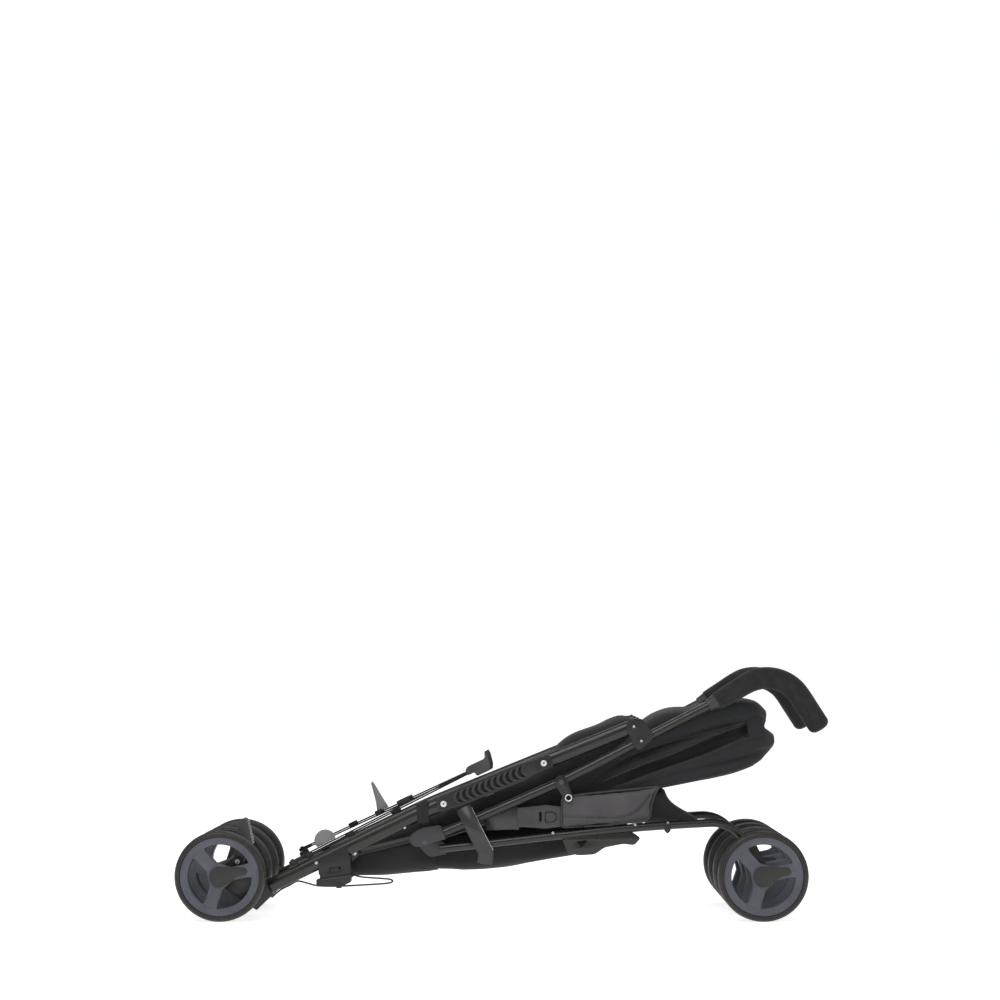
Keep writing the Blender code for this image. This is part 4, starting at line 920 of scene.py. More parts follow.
for tag, side in sides.items():
    start, full, steps = grip["start"], grip["full"], grip["tipSteps"]
    line = smoothLine([mmAt(*p) for p in grip["line"]], 5)
    diameters = [start + (full - start) * min(1, i / grip["swellSteps"]) ** 0.8 for i in range(len(line))]
    last, way = line[-1], (line[-1] - line[-2]).normalized()
    line = [line[0] - (line[1] - line[0]) * 0.25] + line
    diameters = [start * grip["mouth"]] + diameters
    for i in range(1, steps):                    # the rounded tip
        turn = math.pi / 2 * i / steps
        line.append(last + way * grip["tip"] * mm * math.sin(turn))
        diameters.append(full * math.cos(turn) ** 0.62)
    bm = bmesh.new()
    addTube(bm, sidePath(side, line), diameters, steps=48)
    foam = settle(f"foam_grip_{tag}", bm, "foam", f"handle_{tag}", [f"grip_{tag}"], sharp=60)
    bm = bmesh.new()
    collar = [spots["gripStart"] + handleHigh.along * a * mm for a, d in grip["collar"]]
    addTube(bm, sidePath(side, collar), [d for a, d in grip["collar"]], steps=40)
    settle(f"grip_collar_{tag}", bm, "collarGrey", f"handle_{tag}")
print("grips made")


# hinge plates, brackets and housings
pivot = {
    "outline": [(-11.8, 7.4), (-7.4, 12.7), (10.3, 13.9), (17.7, 9.7), (24.2, 0), (33.9, -16.8), (31, -21.5),
                (10.3, -39.2), (5, -38.4), (1.5, -33.9), (-13.3, -3)],
    "corner": 6,
}
eased = [                                        # node, body, finish, slot, edge and its steps
    ("knee_plate", "handle", "plateGrey", "grey_moulding", 1.4, 3),
    ("canopy_bracket", "handle", "armBlack", "black_moulding", 0.9, 2),
    ("rear_housing", "rear_leg", "armBlack", "black_moulding", 1.6, 3),
    ("stay_bracket", "rear_leg", "armBlack", "black_moulding", 0.9, 2),
    ("caster_fork", "caster", "armBlack", "black_moulding", 2.0, 3),
    ("stay_bar", "stay", "frameBlack", "black_tube", 1.0, 2),
    ("knee_link", "link", "frameBlack", "black_tube", 0.8, 2),
]

for tag, side in sides.items():
    bm = bmesh.new()
    outline = [spots["foldPivot"] + Vector(p) * mm for p in pivot["outline"]][::-1]
    addSidePlate(bm, side, rounded(outline, pivot["corner"]), 8.4, 13.4, 1.1)
    for centre in (spots["foldPivot"], spots["platePin"]):
        addDisc(bm, side, centre, 6.2, 13.0, 14.2)
        addDisc(bm, side, centre, 3.0, -8, 14.8)
    settle(f"pivot_plate_{tag}_face", bm, "darkMoulding", f"handle_{tag}",
           [f"pivot_plate_{tag}"])
    for node, body, finish, slotName, edge, steps in eased:
        refine(f"{node}_{tag}", f"{body}_{tag}", finish, edge, steps)

housing = {
    "face": [(-309, 74), (-300, 69), (-257, 77), (-256, 101), (-262, 121), (-281, 114), (-303, 104),
             (-310, 94)],
    "window": [(-292, 77), (-272, 79), (-272, 88), (-290, 87)],
    "tray": [(-313, 54.5), (-302, 54.5), (-300, 58), (-263, 63), (-248, 73), (-250, 75), (-304, 67.5),
             (-313, 66)],
    # strip: a painted reflection along the tray's top
    "strip": [(-303, 64.6), (-253, 72), (-253, 74.4), (-303, 67)],
    "nub": [(-280.5, 66), (-279.5, 51.5), (-270.5, 51.5), (-270, 67)],
    "sleeve": [(-146, 192), (-143, 160), (-124, 161), (-126, 199), (-130, 200)],
    "stop": [(269, 157), (283, 158), (281, 147), (276, 142.5), (271, 148)],
    "eyelet": (110, 203.5), "eyeletRadius": 5.2, "eyeletWire": 1.2,
}

for tag, side in sides.items():
    body = f"rear_leg_{tag}"
    bm = bmesh.new()
    addSidePlate(bm, side, shapeOf(housing["face"], 3), 8.2, 9.8, 0.6, [shapeOf(housing["window"], 1)])
    addSidePlate(bm, side, shapeOf(housing["tray"], 1.5), -7, 10.4, 1)
    addSidePlate(bm, side, shapeOf(housing["nub"], 1.5), 1, 9.4, 1)
    settle(f"stay_housing_{tag}", bm, "armBlack", body)
    # a lighter strip along the tray's top: a painted reflection
    bm = bmesh.new()
    addSidePlate(bm, side, shapeOf(housing["strip"], 0.6), 10, 11, 0.4)
    settle(f"painted_highlight_strip_{tag}", bm, "collarGrey", body)
    bm = bmesh.new()                             # steel eyelet that gathers the hood
    wire, radius = housing["eyeletWire"], housing["eyeletRadius"]
    section = [(wire * math.cos(a), radius + wire * math.sin(a)) for a in [math.pi * i / 5 for i in range(10)]]
    addLathe(bm, section, space(side, 13.2, mmAt(*housing["eyelet"])), 36)
    settle(f"hood_eyelet_{tag}", bm, "whiteRivet", f"handle_{tag}", sharp=60)
bm = bmesh.new()                                 # fabric sleeve round the near rear leg
addSidePlate(bm, -1, shapeOf(housing["sleeve"], 2.5), -9.6, 9.8, 2)
settle("leg_sleeve", bm, "seat", "rear_leg_near")
bm = bmesh.new()                                 # small stop under the front leg
addSidePlate(bm, -1, shapeOf(housing["stop"], 1.5), 1, 7, 1)
settle("front_leg_stop", bm, "armBlack", "front_leg_near")
print("plates made")


# crossed brace: paired rods with clips, end blocks and a paddle on each
brace = {
    "length": 385, "rod": 2.7, "spread": 3.6, "low": 1.4, "high": 4.9, "from": 52,
    "lift": {"near": 16.4, "far": 22.8},
    "clips": {"near": ((30, 13), (112, 13), (206, 15)), "far": ((40, 13), (118, 13), (177, 13), (233, 28))},
    "clipDepth": {"near": (-3.4, 5.9), "far": (0.2, 9.6)}, "clipHalf": 6.6,
    "hook": [(368, -1), (382, -1), (384, -8.5), (410, -8.5), (415, 0), (419, 18), (418, 24.5), (415.5, 22),
             (412, 14.5), (407, 12.5), (374, 12.5), (368, 8)],
    "hookRim": [(374, 3), (400, 3), (400, 7), (374, 7)],
    "paddle": {
        "near": [(86, 6.4), *[(68 + p.x, 10.4 + p.y) for p in [heading(a) * 19 for a in range(8, 173, 8)]],
                 (50, 6.4)],
        "far": [(197, 6.4), (195, 18.4), (191, 55.4), (189, 58.9), (187, 55.4), (180, 24.4), (173, 6.4)],
    },
}


def bracePlace(tag, side):
    spread = math.asin(2 * halfWidth / (brace["length"] * mm))
    forward = Vector((rearLow.along.x, 0, rearLow.along.y))
    upward = Vector((rearLow.up.x, 0, rearLow.up.y))
    along = forward * math.cos(spread) + Vector((0, -side, 0)) * math.sin(spread)
    place = Matrix((along, upward, along.cross(upward))).transposed().to_4x4()
    place.translation = space(side, 0, rearLow.mark(brace["from"], brace["lift"][tag]))
    return place


def boxMarks(start, end, half):
    return [(start, -half), (end, -half), (end, half), (start, half)]


def addPlaced(bm, marks, radius, low, high, bevel, place):      # distances in millimetres
    addPlate(bm, shapeOf(marks, radius), low * mm, high * mm, bevel * mm, place=place)


for tag, side in sides.items():
    body, length = f"brace_{tag}", brace["length"]
    place = bracePlace(tag, side)
    flat = place @ Matrix.Rotation(math.radians(-90), 4, "X")     # x along, y across, z up
    bm = bmesh.new()
    for lane, lift in ((-1, brace["low"]), (1, brace["high"])):
        ends = [place @ (Vector((a, lift, lane * brace["spread"])) * mm) for a in (4, length - 4)]
        addTube(bm, ends, brace["rod"], steps=16, lateral=place.col[2].to_3d())
    settle(f"brace_rods_{tag}", bm, "frameBlack", body, [f"brace_bar_{tag}"])
    bm = bmesh.new()
    for start, end in ((-6, 20), (length - 22, length + 6)):
        addPlaced(bm, boxMarks(start, end, 6), 5, 0.1, 6.0, 0.9, flat)
    for middle, clip in brace["clips"][tag]:
        marks = boxMarks(middle - clip / 2, middle + clip / 2, brace["clipHalf"])
        addPlaced(bm, marks, 1.5, *brace["clipDepth"][tag], 0.9, flat)
    settle(f"brace_clips_{tag}", bm, "armBlack", body)
    if tag == "far":                             # the bracket with the finger hook that closes the fold
        bm = bmesh.new()
        addPlaced(bm, brace["hook"], 2.2, -8, 8, 1.4, place)
        addPlaced(bm, brace["hookRim"], 1.2, -8.9, 8.9, 0.6, place)
        settle("brace_hook", bm, "plateGrey", body)
    bm = bmesh.new()
    addPlaced(bm, brace["paddle"][tag], 1.5, -2.5, 2.5, 1.2, place)
    settle(f"brace_paddle_{tag}_face", bm, "paleMoulding", body, [f"brace_paddle_{tag}"])
print("brace made")


# brake pedal and cable
pedal = {"half": 13.6, "dashes": 9, "dashFrom": 0.15, "dashTo": 0.8, "dashWidth": 0.8, "boss": 8}


def makePedal():
    bm = bmesh.new()
    base = spots["pedalPivot"]
    tip = base + mmAt(9, 73)
    outline = hull(ringOf(base, pedal["boss"], 24),
                   [tip, tip + mmAt(6, -3), tip + mmAt(-9, -7), tip + mmAt(-10, -20)],
                   [base + mmAt(24, 28), base + mmAt(18, 16)])
    addSidePlate(bm, -1, rounded(outline, 4), -pedal["half"], pedal["half"], 2.2)
    settle("brake_pedal_face", bm, "pedalGrey", "pedal_near", ["brake_pedal_near"])
    bm = bmesh.new()
    strip = Run(base + mmAt(24.2, 29), tip + mmAt(6, -3.5))
    reach = pedal["half"] * pedal["dashWidth"]
    for i in range(pedal["dashes"]):
        start, end = [(i + edge) / pedal["dashes"] * strip.length / mm
                      for edge in (pedal["dashFrom"], pedal["dashTo"])]
        dash = strip.marks([(start, 1), (start, -1.1), (end, -1.1), (end, 1)])
        addSidePlate(bm, -1, dash, -reach, reach, 0.4)
    settle("pedal_tread", bm, "paleMoulding", "pedal_near")


makePedal()

cable = {
    "diameter": 3.0, "foot": (-6, -18.6),
    "marks": [                                   # x, distance inwards and z
        (-375, 6, 47), (-360, 7.5, 54.6), (-346, 8, 61.6), (-330, 6, 58.5), (-313, 4, 54.6), (-290, 3, 53.6),
        (-265, 3, 54.2), (-230, 4, 56), (-196, 7, 58), (-187, 10, 60.4), (-188, 13, 63), (-196, 15, 64.6),
        (-222, 16, 66.4), (-240, 15.5, 68), (-254.7, 14, 72.1),
    ],
}
marks = [space(-1, 0, rearLow.mark(*cable["foot"]))]
marks += [space(-1, -inward, mmAt(x, z)) for x, inward, z in cable["marks"]]
bm = bmesh.new()
addTube(bm, smoothLine(marks, 8), cable["diameter"], steps=16)
settle("brake_cable_sheath", bm, "cableSheath", "rear_leg_near", ["brake_cable"])
print("brakes made")


# carry handle and storage latch
carry = {
    "start": 30, "length": 206, "gripFrom": 58, "gripTo": 192, "deep": 14.5, "slim": 11, "out": 8.4, "thick": 8,
    "relief": 1.6, "ribs": 12, "ribRadius": 10, "ribOut": 6.6, "ribFrom": 13.5, "ribSweep": 150, "ribWire": 1.5,
    "ribLean": 105, "corners": [3, 8, 12, 12, 10, 3, 3, 10, 12, 12, 8, 3],
    "turns": (-62, -45, -25, 0, 25, 45, 62),
}


def makeCarryHandle():
    start, end = carry["start"], carry["start"] + carry["length"]
    low, high, deep, slim = carry["gripFrom"], carry["gripTo"], carry["deep"], carry["slim"]
    edge = [(start, slim), (low - 10, slim), (low + 6, deep), (high - 8, deep), (high + 12, slim), (end, slim)]
    outline = rearHigh.marks([(a, -b) for a, b in edge] + edge[::-1])
    holes = []
    pitch = (high - low) / carry["ribs"]
    turns = [math.radians(a) for a in carry["turns"]]
    for i in range(carry["ribs"] - 1):           # crescent openings between the ribs
        middle = low + pitch * (i + 1)
        outer = [(middle + 6 - 10 * math.cos(a), 10 * math.sin(a)) for a in turns]
        inner = [(middle + 11.8 - 12 * math.cos(a * 0.8), 12 * math.sin(a * 0.8)) for a in turns[::-1]]
        holes.append(rearHigh.marks(outer + inner))
    bm = bmesh.new()
    back, face = carry["out"], carry["out"] + carry["thick"] - carry["relief"]
    addSidePlate(bm, -1, rounded(outline, carry["corners"]), back, face, 1.1, holes)
    for a, b in ((start + 3, low - 12), (high + 15, end - 3)):  # a framed recess at each end
        frameOut = rearHigh.marks(boxMarks(a, b, 8.5))
        frameIn = rearHigh.marks(boxMarks(a + 1.6, b - 1.6, 6.9))
        addSidePlate(bm, -1, rounded(frameOut, 1.5), face - 0.5, face + 1.2, 0.4, [rounded(frameIn, 1)])
        middle = (a + b) / 2
        for way in (-1, 1):                      # the struts that leave triangular recesses
            for lift in (1, -1):
                aim = rearHigh.mark(middle + way * ((b - a) / 2 - 1), lift * 7.6)
                strut = Run(rearHigh.mark(middle), aim)
                reach = strut.length / mm
                corners = strut.marks([(0, 0.7), (reach, 0.7), (reach, -0.7), (0, -0.7)])
                addSidePlate(bm, -1, corners, face - 0.5, face + 0.8, 0.3)
    settle("carry_handle_body", bm, "darkMoulding", "rear_leg_near", ["carry_handle"])
    bm = bmesh.new()                             # a black plate behind the grip: painted shade seen between its ribs
    floor = rearHigh.marks(boxMarks(low - 2, high + 2, 10.5))
    addSidePlate(bm, -1, rounded(floor, 4), back + 0.1, back + 1.4, 0.3)
    settle("carry_handle_painted_shade", bm, "paintedShadeBlack", "rear_leg_near")
    step = rearHigh.along * pitch * mm
    angle = math.degrees(math.atan2(rearHigh.along.y, rearHigh.along.x)) + carry["ribLean"]
    first = space(-1, carry["out"] + carry["ribOut"], rearHigh.mark(low + carry["ribFrom"]))
    ribs = grown("carry_handle_ribs", pointsMesh([(0, 0, 0)]), crescentTree, "plateGrey", {
        "Count": carry["ribs"], "Start": first,
        "Step": Vector((step.x, 0, step.y)), "Radius": carry["ribRadius"] * mm,
        "Sweep": math.radians(carry["ribSweep"]), "Thickness": carry["ribWire"] * mm,
        "Turn": Vector((math.radians(90), -math.radians(angle), 0)),
    })
    carried(ribs, "rear_leg_near")


makeCarryHandle()

latch = {
    "width": 25, "thick": 1.6, "crown": 2.4, "steps": 40, "top": (69.4, -19), "run": 37, "drop": 11,
    "out": 11.4, "bulge": 11, "lean": Vector((0.96, 0, 0.28)), "rolled": 1.9, "polished": 1.0,
    "tail": [(0.2, 10.4, -4), (-0.5, 10.2, -12), (-2, 9.2, -21)],
}


def latchPath():
    top = rearHigh.mark(*latch["top"])
    footX = top.x + latch["run"] * mm
    foot = Vector((footX, frontRun.at(footX - spots["frontStart"].x).y - latch["drop"] * mm))
    path = []
    for i in range(latch["steps"] + 1):
        share = i / latch["steps"]
        path.append(space(-1, latch["out"] + latch["bulge"] * math.sin(math.pi * share), top.lerp(foot, share)))
    return path + [space(-1, out, foot + mmAt(x, z)) for x, out, z in latch["tail"]]


def makeLatch():
    path, lean = latchPath(), latch["lean"]
    flats, normals = [], []
    for i in range(len(path)):
        tangent = tangentAt(path, i)
        normal = tangent.cross(lean).normalized()
        if normal.y > 0:
            normal = -normal
        normals.append(normal)
        flats.append(normal.cross(tangent).normalized())

    def edgeAt(reach, lift):                     # a line along the strap, off its middle
        return [p + f * reach * mm + n * lift * mm for p, f, n in zip(path, flats, normals)]

    half = latch["width"] / 2
    bm = bmesh.new()
    addRibbon(bm, path, flats, normals, latch["width"], latch["thick"], latch["crown"])
    for way in (1, -1):                          # a rolled edge along each side
        addTube(bm, edgeAt(way * (half - 0.6), 0.5)[3:-1], latch["rolled"], steps=10, lateral=lean)
    settle("storage_latch_strap", bm, "satinStrap", "latch", ["storage_latch"], sharp=50)
    bm = bmesh.new()                             # the polished edge on the side of the handles
    addTube(bm, edgeAt(half + 0.1, 0.9)[3:-3], latch["polished"], steps=8, lateral=lean)
    settle("storage_latch_edge", bm, "steel", "latch", sharp=50)


makeLatch()
print("carry handle and latch made")


# soft pieces
seam = {"gap": 2.6, "pitch": 3.4, "length": 2.2, "thread": 0.3, "piping": 2.2, "lift": 0.3}
stitchSizes = {"Pitch": seam["pitch"] * mm, "Length": seam["length"] * mm, "Thickness": seam["thread"] * mm}


def pairOf(name):
    return [f"{name}_{tag}" for tag in sides]


def modify(item, name, kind, **values):
    made = item.modifiers.new(name, kind)
    for label, value in values.items():
        setattr(made, label, value)
    return made


def sampled(values, share):                      # smooth value of an evenly stepped list
    place = share * (len(values) - 1)
    i = min(int(place), len(values) - 2)
    t = place - i
    a, b = values[max(i - 1, 0)], values[i]
    c, d = values[i + 1], values[min(i + 2, len(values) - 1)]
    return 0.5 * (2 * b + (c - a) * t + (2 * a - 5 * b + 4 * c - d) * t ** 2 + (3 * b - 3 * c + d - a) * t ** 3)


def addLoft(bm, upper, lower, halves, steps=60, around=56, power=0.62):     # marks in millimetres
    upper, lower = [Vector(p) * mm for p in upper], [Vector(p) * mm for p in lower]
    rings = []
    for i in range(steps + 1):
        share = i / steps
        a, b = sampled(upper, share), sampled(lower, share)
        half = max(sampled(halves, share), 1.0) * mm
        middle, reach = (a + b) / 2, (a - b) / 2
        ring = []
        for k in range(around):
            turn = 2 * math.pi * k / around
            c, s = math.cos(turn), math.sin(turn)
            y = half * math.copysign(abs(c) ** power, c)
            spot = middle + reach * math.copysign(abs(s) ** power, s)
            ring.append(bm.verts.new((spot.x, y, spot.y)))
        rings.append(ring)
    joinRings(bm, rings)


def clothSkin(name, bm, finish, voxel, smoothing, crease):      # one skin over the lofts, with its folds
    item = objectFrom(name, meshFrom(bm, 180), finishes[finish])
    modify(item, "weld", "REMESH", mode="VOXEL", voxel_size=voxel * mm)
    modify(item, "soften", "SMOOTH", factor=0.5, iterations=smoothing)
    item = applied(item)
    moved = [v.co + v.normal * (crease(v.co) * mm) for v in item.data.vertices]
    for vertex, place in zip(item.data.vertices, moved):
        vertex.co = place
    modify(item, "wall", "SOLIDIFY", thickness=1.2 * mm, offset=-1)
    item = applied(item)
    item.data.shade_smooth()
    return item


def ridges(value):                               # sharp folds with soft troughs, from -1 to 1
    return 1 - 2 * abs(value) ** 0.7


def noiseAt(x, y, z):
    return noise.noise(Vector((x, y, z)))


def declareCloth(item, bodies, node):
    carried(item, bodies, [node])


def clothTree(item):
    mesh = item.data
    return BVHTree.FromPolygons([v.co for v in mesh.vertices], [p.vertices for p in mesh.polygons])


def drawnOn(tree, marks, side, lift, steps=8):   # a seam's line, laid on the cloth as seen from one side
    line = []
    for spot in smoothLine([mmAt(*m) for m in marks], steps):
        hit = tree.ray_cast(Vector((spot.x, side * 0.3, spot.y)), Vector((0, -side, 0)), 0.3)[0]
        if hit:
            line.append(hit + Vector((0, side * lift * mm, 0)))
    for turn in range(3):                        # eased where the seam crosses a fold
        middles = [(a + b + c) / 3 for a, b, c in zip(line, line[1:], line[2:])]
        line = [line[0], *middles, line[-1]]
    return line


def dressSeam(name, tree, marks, bodies):        # piping with a row of stitches above and below it
    for tag, side in sides.items():
        bm = bmesh.new()
        addTube(bm, drawnOn(tree, marks, side, seam["lift"]), seam["piping"], steps=10)
        settle(f"{name}_{tag}", bm, "piping", bodies, sharp=60)
        for k, gap in enumerate((-seam["gap"], seam["gap"])):
            row = lineMesh([drawnOn(tree, [(x, z + gap) for x, z in marks], side, 0.1)])
            stitches = grown(f"{name}_stitches_{tag}_{k}", row, stitchTree, "thread", stitchSizes)
            carried(stitches, bodies)


hood = {
    "seams": {
        "hood_seam_upper": [(165, 240), (202, 266), (250, 286), (300, 301), (343, 310), (390, 323), (440, 336)],
        "hood_seam_middle": [(160, 224), (200, 243), (243, 260), (283, 274), (330, 292)],
        "hood_seam_lower": [(150, 211), (199, 222), (250, 240), (300, 258), (343, 273), (390, 293), (445, 314)],
        "hood_hem": [(120, 198), (164, 203), (210, 211), (262, 218), (313, 228), (352, 234), (390, 243),
                     (425, 256)],
    },
    "strap": [(426, 336), (427, 326), (428, 314), (429, 302)], "strapWidth": 26,
    "eyelet": (110, 200), "voxel": 2.6, "flat": (0.34, 0.50),
    "lobes": [                                   # upper edge, lower edge and half widths, from the eyelet
        ([(104, 221), (140, 259), (178, 283), (214, 306), (246, 336), (280, 351), (317, 355), (350, 362),
          (392, 371), (430, 366), (452, 347)],
         [(106, 194), (140, 220), (176, 249), (210, 267), (246, 279), (280, 290), (317, 301), (350, 311),
          (390, 323), (428, 322), (449, 322)],
         [20, 42, 60, 68, 70, 70, 70, 69, 66, 56, 30]),
        ([(106, 203), (140, 222), (176, 250), (214, 270), (250, 282), (290, 295), (330, 308), (370, 320),
          (415, 332)],
         [(106, 194), (140, 209), (172, 224), (214, 243), (250, 258), (290, 274), (330, 291), (370, 308),
          (412, 322)],
         [20, 42, 59, 67, 69, 70, 70, 68, 52]),
        ([(108, 200), (150, 214), (199, 238), (250, 260), (300, 280), (350, 300), (400, 322), (430, 330)],
         [(108, 194), (150, 203), (199, 217), (250, 236), (300, 254), (350, 272), (400, 292), (432, 306)],
         [18, 36, 45, 43, 42, 42, 42, 34]),
        ([(108, 201), (150, 211), (199, 225), (250, 243), (300, 261), (343, 277), (390, 297), (438, 320),
          (464, 308)],
         [(108, 195), (150, 200), (199, 212), (250, 227), (300, 240), (343, 250), (390, 262), (432, 272),
          (462, 284)],
         [20, 44, 62, 68, 70, 70, 69, 60, 34]),
        ([(108, 198), (150, 206), (199, 220), (250, 234), (300, 246), (343, 256), (390, 267), (434, 281),
          (464, 300)],
         [(108, 193), (150, 198), (199, 204), (250, 212), (300, 221), (343, 230), (390, 240), (430, 255),
          (457, 278)],
         [18, 42, 60, 66, 68, 68, 66, 56, 28]),
    ],
}


def hoodCrease(place):                           # pleats that run from the eyelet, slack between the hoops
    eye = mmAt(*hood["eyelet"])
    gap = Vector((place.x - eye.x, place.z - eye.y))
    reach, turn = gap.length, math.atan2(gap.y, gap.x)
    pleats = math.sin(turn * 46 + 2 * noiseAt(reach * 9, 3, place.y * 9)) * 2.0 * math.exp(-reach / 0.075)
    drag = ridges(noiseAt(reach * 7, turn * 13, place.y * 14 + 5)) * 1.1
    puff = noiseAt(place.x * 16, place.y * 20, place.z * 24) * 1.2
    return pleats * min(1, reach / 0.02) + drag + puff - 0.9


def makeHood():
    bm = bmesh.new()
    for upper, lower, halves in hood["lobes"]:
        addLoft(bm, upper, lower, halves)
    item = clothSkin("hood_cloth", bm, "hood", hood["voxel"], 3, hoodCrease)
    tree, bodies = clothTree(item), pairOf("handle")
    declareCloth(item, bodies, "canopy")
    for name, marks in hood["seams"].items():
        dressSeam(name, tree, marks, bodies)
    for tag, side in sides.items():              # the tape that holds the folded lobes together
        held = drawnOn(tree, hood["strap"], side, 1.2, 6)
        line = [held[0].lerp(held[-1], i / 12) for i in range(13)]
        bm = bmesh.new()
        flats, normals = [Vector((0.985, 0, 0.17))] * len(line), [Vector((0, side, 0))] * len(line)
        addRibbon(bm, line, flats, normals, hood["strapWidth"], 1.2, 0.4)
        settle(f"hood_tape_{tag}", bm, "hood", bodies, sharp=50)


makeHood()


def seatCrease(place):
    drag = ridges(noiseAt(place.x * 9, place.y * 18 + 3, (place.z - place.x * 0.42) * 34)) * 2.4
    return drag + noiseAt(place.x * 22 + 7, place.y * 20, place.z * 22) * 2.2 - 0.3


def basketCrease(place):
    drag = ridges(noiseAt(place.x * 6 + 11, place.y * 12, (place.z + place.x * 0.1) * 30)) * 1.8
    return drag + noiseAt(place.x * 14, place.y * 16 + 4, place.z * 18) * 2.0 - 0.3


cloths = {                                       # stations: x, lower and upper edge, share of the half width
    "seat_cloth": {
        "finish": "seat", "crease": seatCrease, "anchor": "knee", "bodies": "handle", "rests": "handle_tube",
        "node": "seat_fabric", "flat": (0.30, 0.40),
        "stations": [(10, 12, 45, 0.7), (26, 13, 50, 0.85), (45, 15, 58, 0.95), (90, 13, 80, 1.0),
                     (140, 16, 100, 1.0), (180, 20, 117, 1.0), (208, 24, 134, 1.0), (230, 26, 162, 1.0),
                     (262, 28, 182, 0.98), (300, 30, 197, 0.94), (336, 26, 208, 0.86), (354, 25, 190, 0.75),
                     (374, 27, 110, 0.6)],
    },
    "basket_front_cloth": {
        "finish": "basket", "crease": basketCrease, "anchor": "knee", "bodies": "front_leg",
        "rests": "front_leg", "node": "basket_front", "flat": (0.28, 0.36),
        "stations": [(10, -52, -6, 0.9), (21.5, -53.5, -4, 0.97), (40, -53, 3, 1.0), (90, -53, 10, 1.0),
                     (150, -47, 15, 1.0), (200, -40, 18, 1.0), (245, -30, 22, 1.0), (272, -20, 24, 1.0),
                     (300, -8, 24, 0.9), (318, 2, 20, 0.6)],
    },
    "basket_rear_cloth": {
        "finish": "basket", "crease": basketCrease, "anchor": "knee", "bodies": "rear_leg",
        "rests": "rear_leg", "node": "basket_rear", "flat": (0.22, 0.26),
        "stations": [(-146, -62, -20, 0.8), (-130, -63, -10, 1.0), (-90, -63, 5, 1.0), (-40, -61, 28, 1.0),
                     (0, -59, 43, 1.0), (12, -57, 45, 1.0), (20.5, -56, 44, 0.98)],
    },
    "calf_cloth": {
        "finish": "basket", "crease": basketCrease, "anchor": "frontBend", "bodies": "front_leg",
        "rests": "front_leg", "node": "calf_panel", "flat": (0.15, 0.20),
        "stations": [(-105, -4, 36, 0.8), (-96, -6, 49, 1.0), (-76, -8, 57, 1.0), (-60, -9, 36, 1.0),
                     (-40, -9, 20, 1.0), (-22, -10, 8, 1.0), (-12, -10, 0, 0.8)],
    },
}
clothHalf, clothVoxel = 60, 3.0


def makeCloth(name, cloth):
    anchor, stations = spots[cloth["anchor"]], cloth["stations"]
    upper = [(anchor + mmAt(x, high)) / mm for x, low, high, share in stations]
    lower = [(anchor + mmAt(x, low)) / mm for x, low, high, share in stations]
    bm = bmesh.new()
    addLoft(bm, upper, lower, [share * clothHalf for x, low, high, share in stations])
    item = clothSkin(name, bm, cloth["finish"], clothVoxel, 4, cloth["crease"])
    declareCloth(item, pairOf(cloth["bodies"]), cloth["node"])


for name, cloth in cloths.items():
    makeCloth(name, cloth)
print("cloth made")


# harness pad and buckle
pad = {
    "corners": [(98.9, 152.8), (98.9, 203.8), (133.9, 208.8), (178.9, 213.8), (223.9, 217.8), (263, 222),
                (256, 210), (249.5, 191), (247, 168), (213.9, 161.8), (178.9, 157.3), (138.9, 154.8)],
    "corner": 6, "inner": -0.5, "outer": 5.5, "voxel": 2.6, "pressure": 4.0, "frames": 18, "reach": 4.5,
    "trough": 2.6, "troughWidth": 3.2, "piping": 3.2, "channel": 1.8, "stitchGap": 3,
    "seam": [(101, 171), (140, 170), (180, 169), (210, 173), (230, 186), (246, 206)],
}


def puffed(item):                                # blown up by air pressure, then held to a small reach
    before = [v.co.copy() for v in item.data.vertices]
    cloth = item.modifiers.new("puff", "CLOTH")
    cloth.settings.use_pressure = True
    cloth.settings.uniform_pressure_force = pad["pressure"]
    cloth.settings.effector_weights.gravity = 0
    cloth.settings.quality = 5
    cloth.point_cache.frame_end = pad["frames"]
    for step in range(1, pad["frames"] + 1):
        bpy.context.scene.frame_set(step)
    item = applied(item)
    bpy.context.scene.frame_set(1)
    for vertex, place in zip(item.data.vertices, before):
        gap = vertex.co - place
        if gap.length > pad["reach"] * mm:
            vertex.co = place + gap.normalized() * pad["reach"] * mm
    return item


def makePad():
    outline = shapeOf(pad["corners"][::-1], pad["corner"])
    bm = bmesh.new()
    addSidePlate(bm, -1, outline, pad["inner"], pad["outer"], 2.4)
    item = objectFrom("harness_pad_cloth", meshFrom(bm, 180), finishes["padCloth"])
    modify(item, "weld", "REMESH", mode="VOXEL", voxel_size=pad["voxel"] * mm)
    item = applied(item)
    item = puffed(item)
    modify(item, "soften", "SMOOTH", factor=0.5, iterations=4)
    modify(item, "finer", "SUBSURF", levels=1, render_levels=1)
    item = applied(item)
    trough = drawnOn(clothTree(item), pad["seam"], -1, 0)
    for vertex in item.data.vertices:            # the sewn channel pulls the padding in
        if vertex.co.y < rowY(-1, 2):
            near = min(math.hypot(vertex.co.x - p.x, vertex.co.z - p.z) for p in trough)
            vertex.co.y += pad["trough"] * mm * math.exp(-(near / (pad["troughWidth"] * mm)) ** 2)
    item.data.shade_smooth()
    carried(item, "handle_near", ["harness_pad"])
    tree = clothTree(item)
    bm = bmesh.new()                             # piping round the edge and along the sewn channel
    addTube(bm, [space(-1, 3, p) for p in outline + outline[:2]], pad["piping"], steps=10)
    addTube(bm, drawnOn(tree, pad["seam"], -1, 0.2), pad["channel"], steps=10)
    settle("harness_pad_piping", bm, "piping", "handle_near", sharp=60)
    rows = [drawnOn(tree, [(x, z + gap) for x, z in pad["seam"]], -1, 0.1)
            for gap in (-pad["stitchGap"], pad["stitchGap"])]
    stitches = grown("harness_pad_stitches", lineMesh(rows), stitchTree, "thread", stitchSizes)
    carried(stitches, "handle_near")


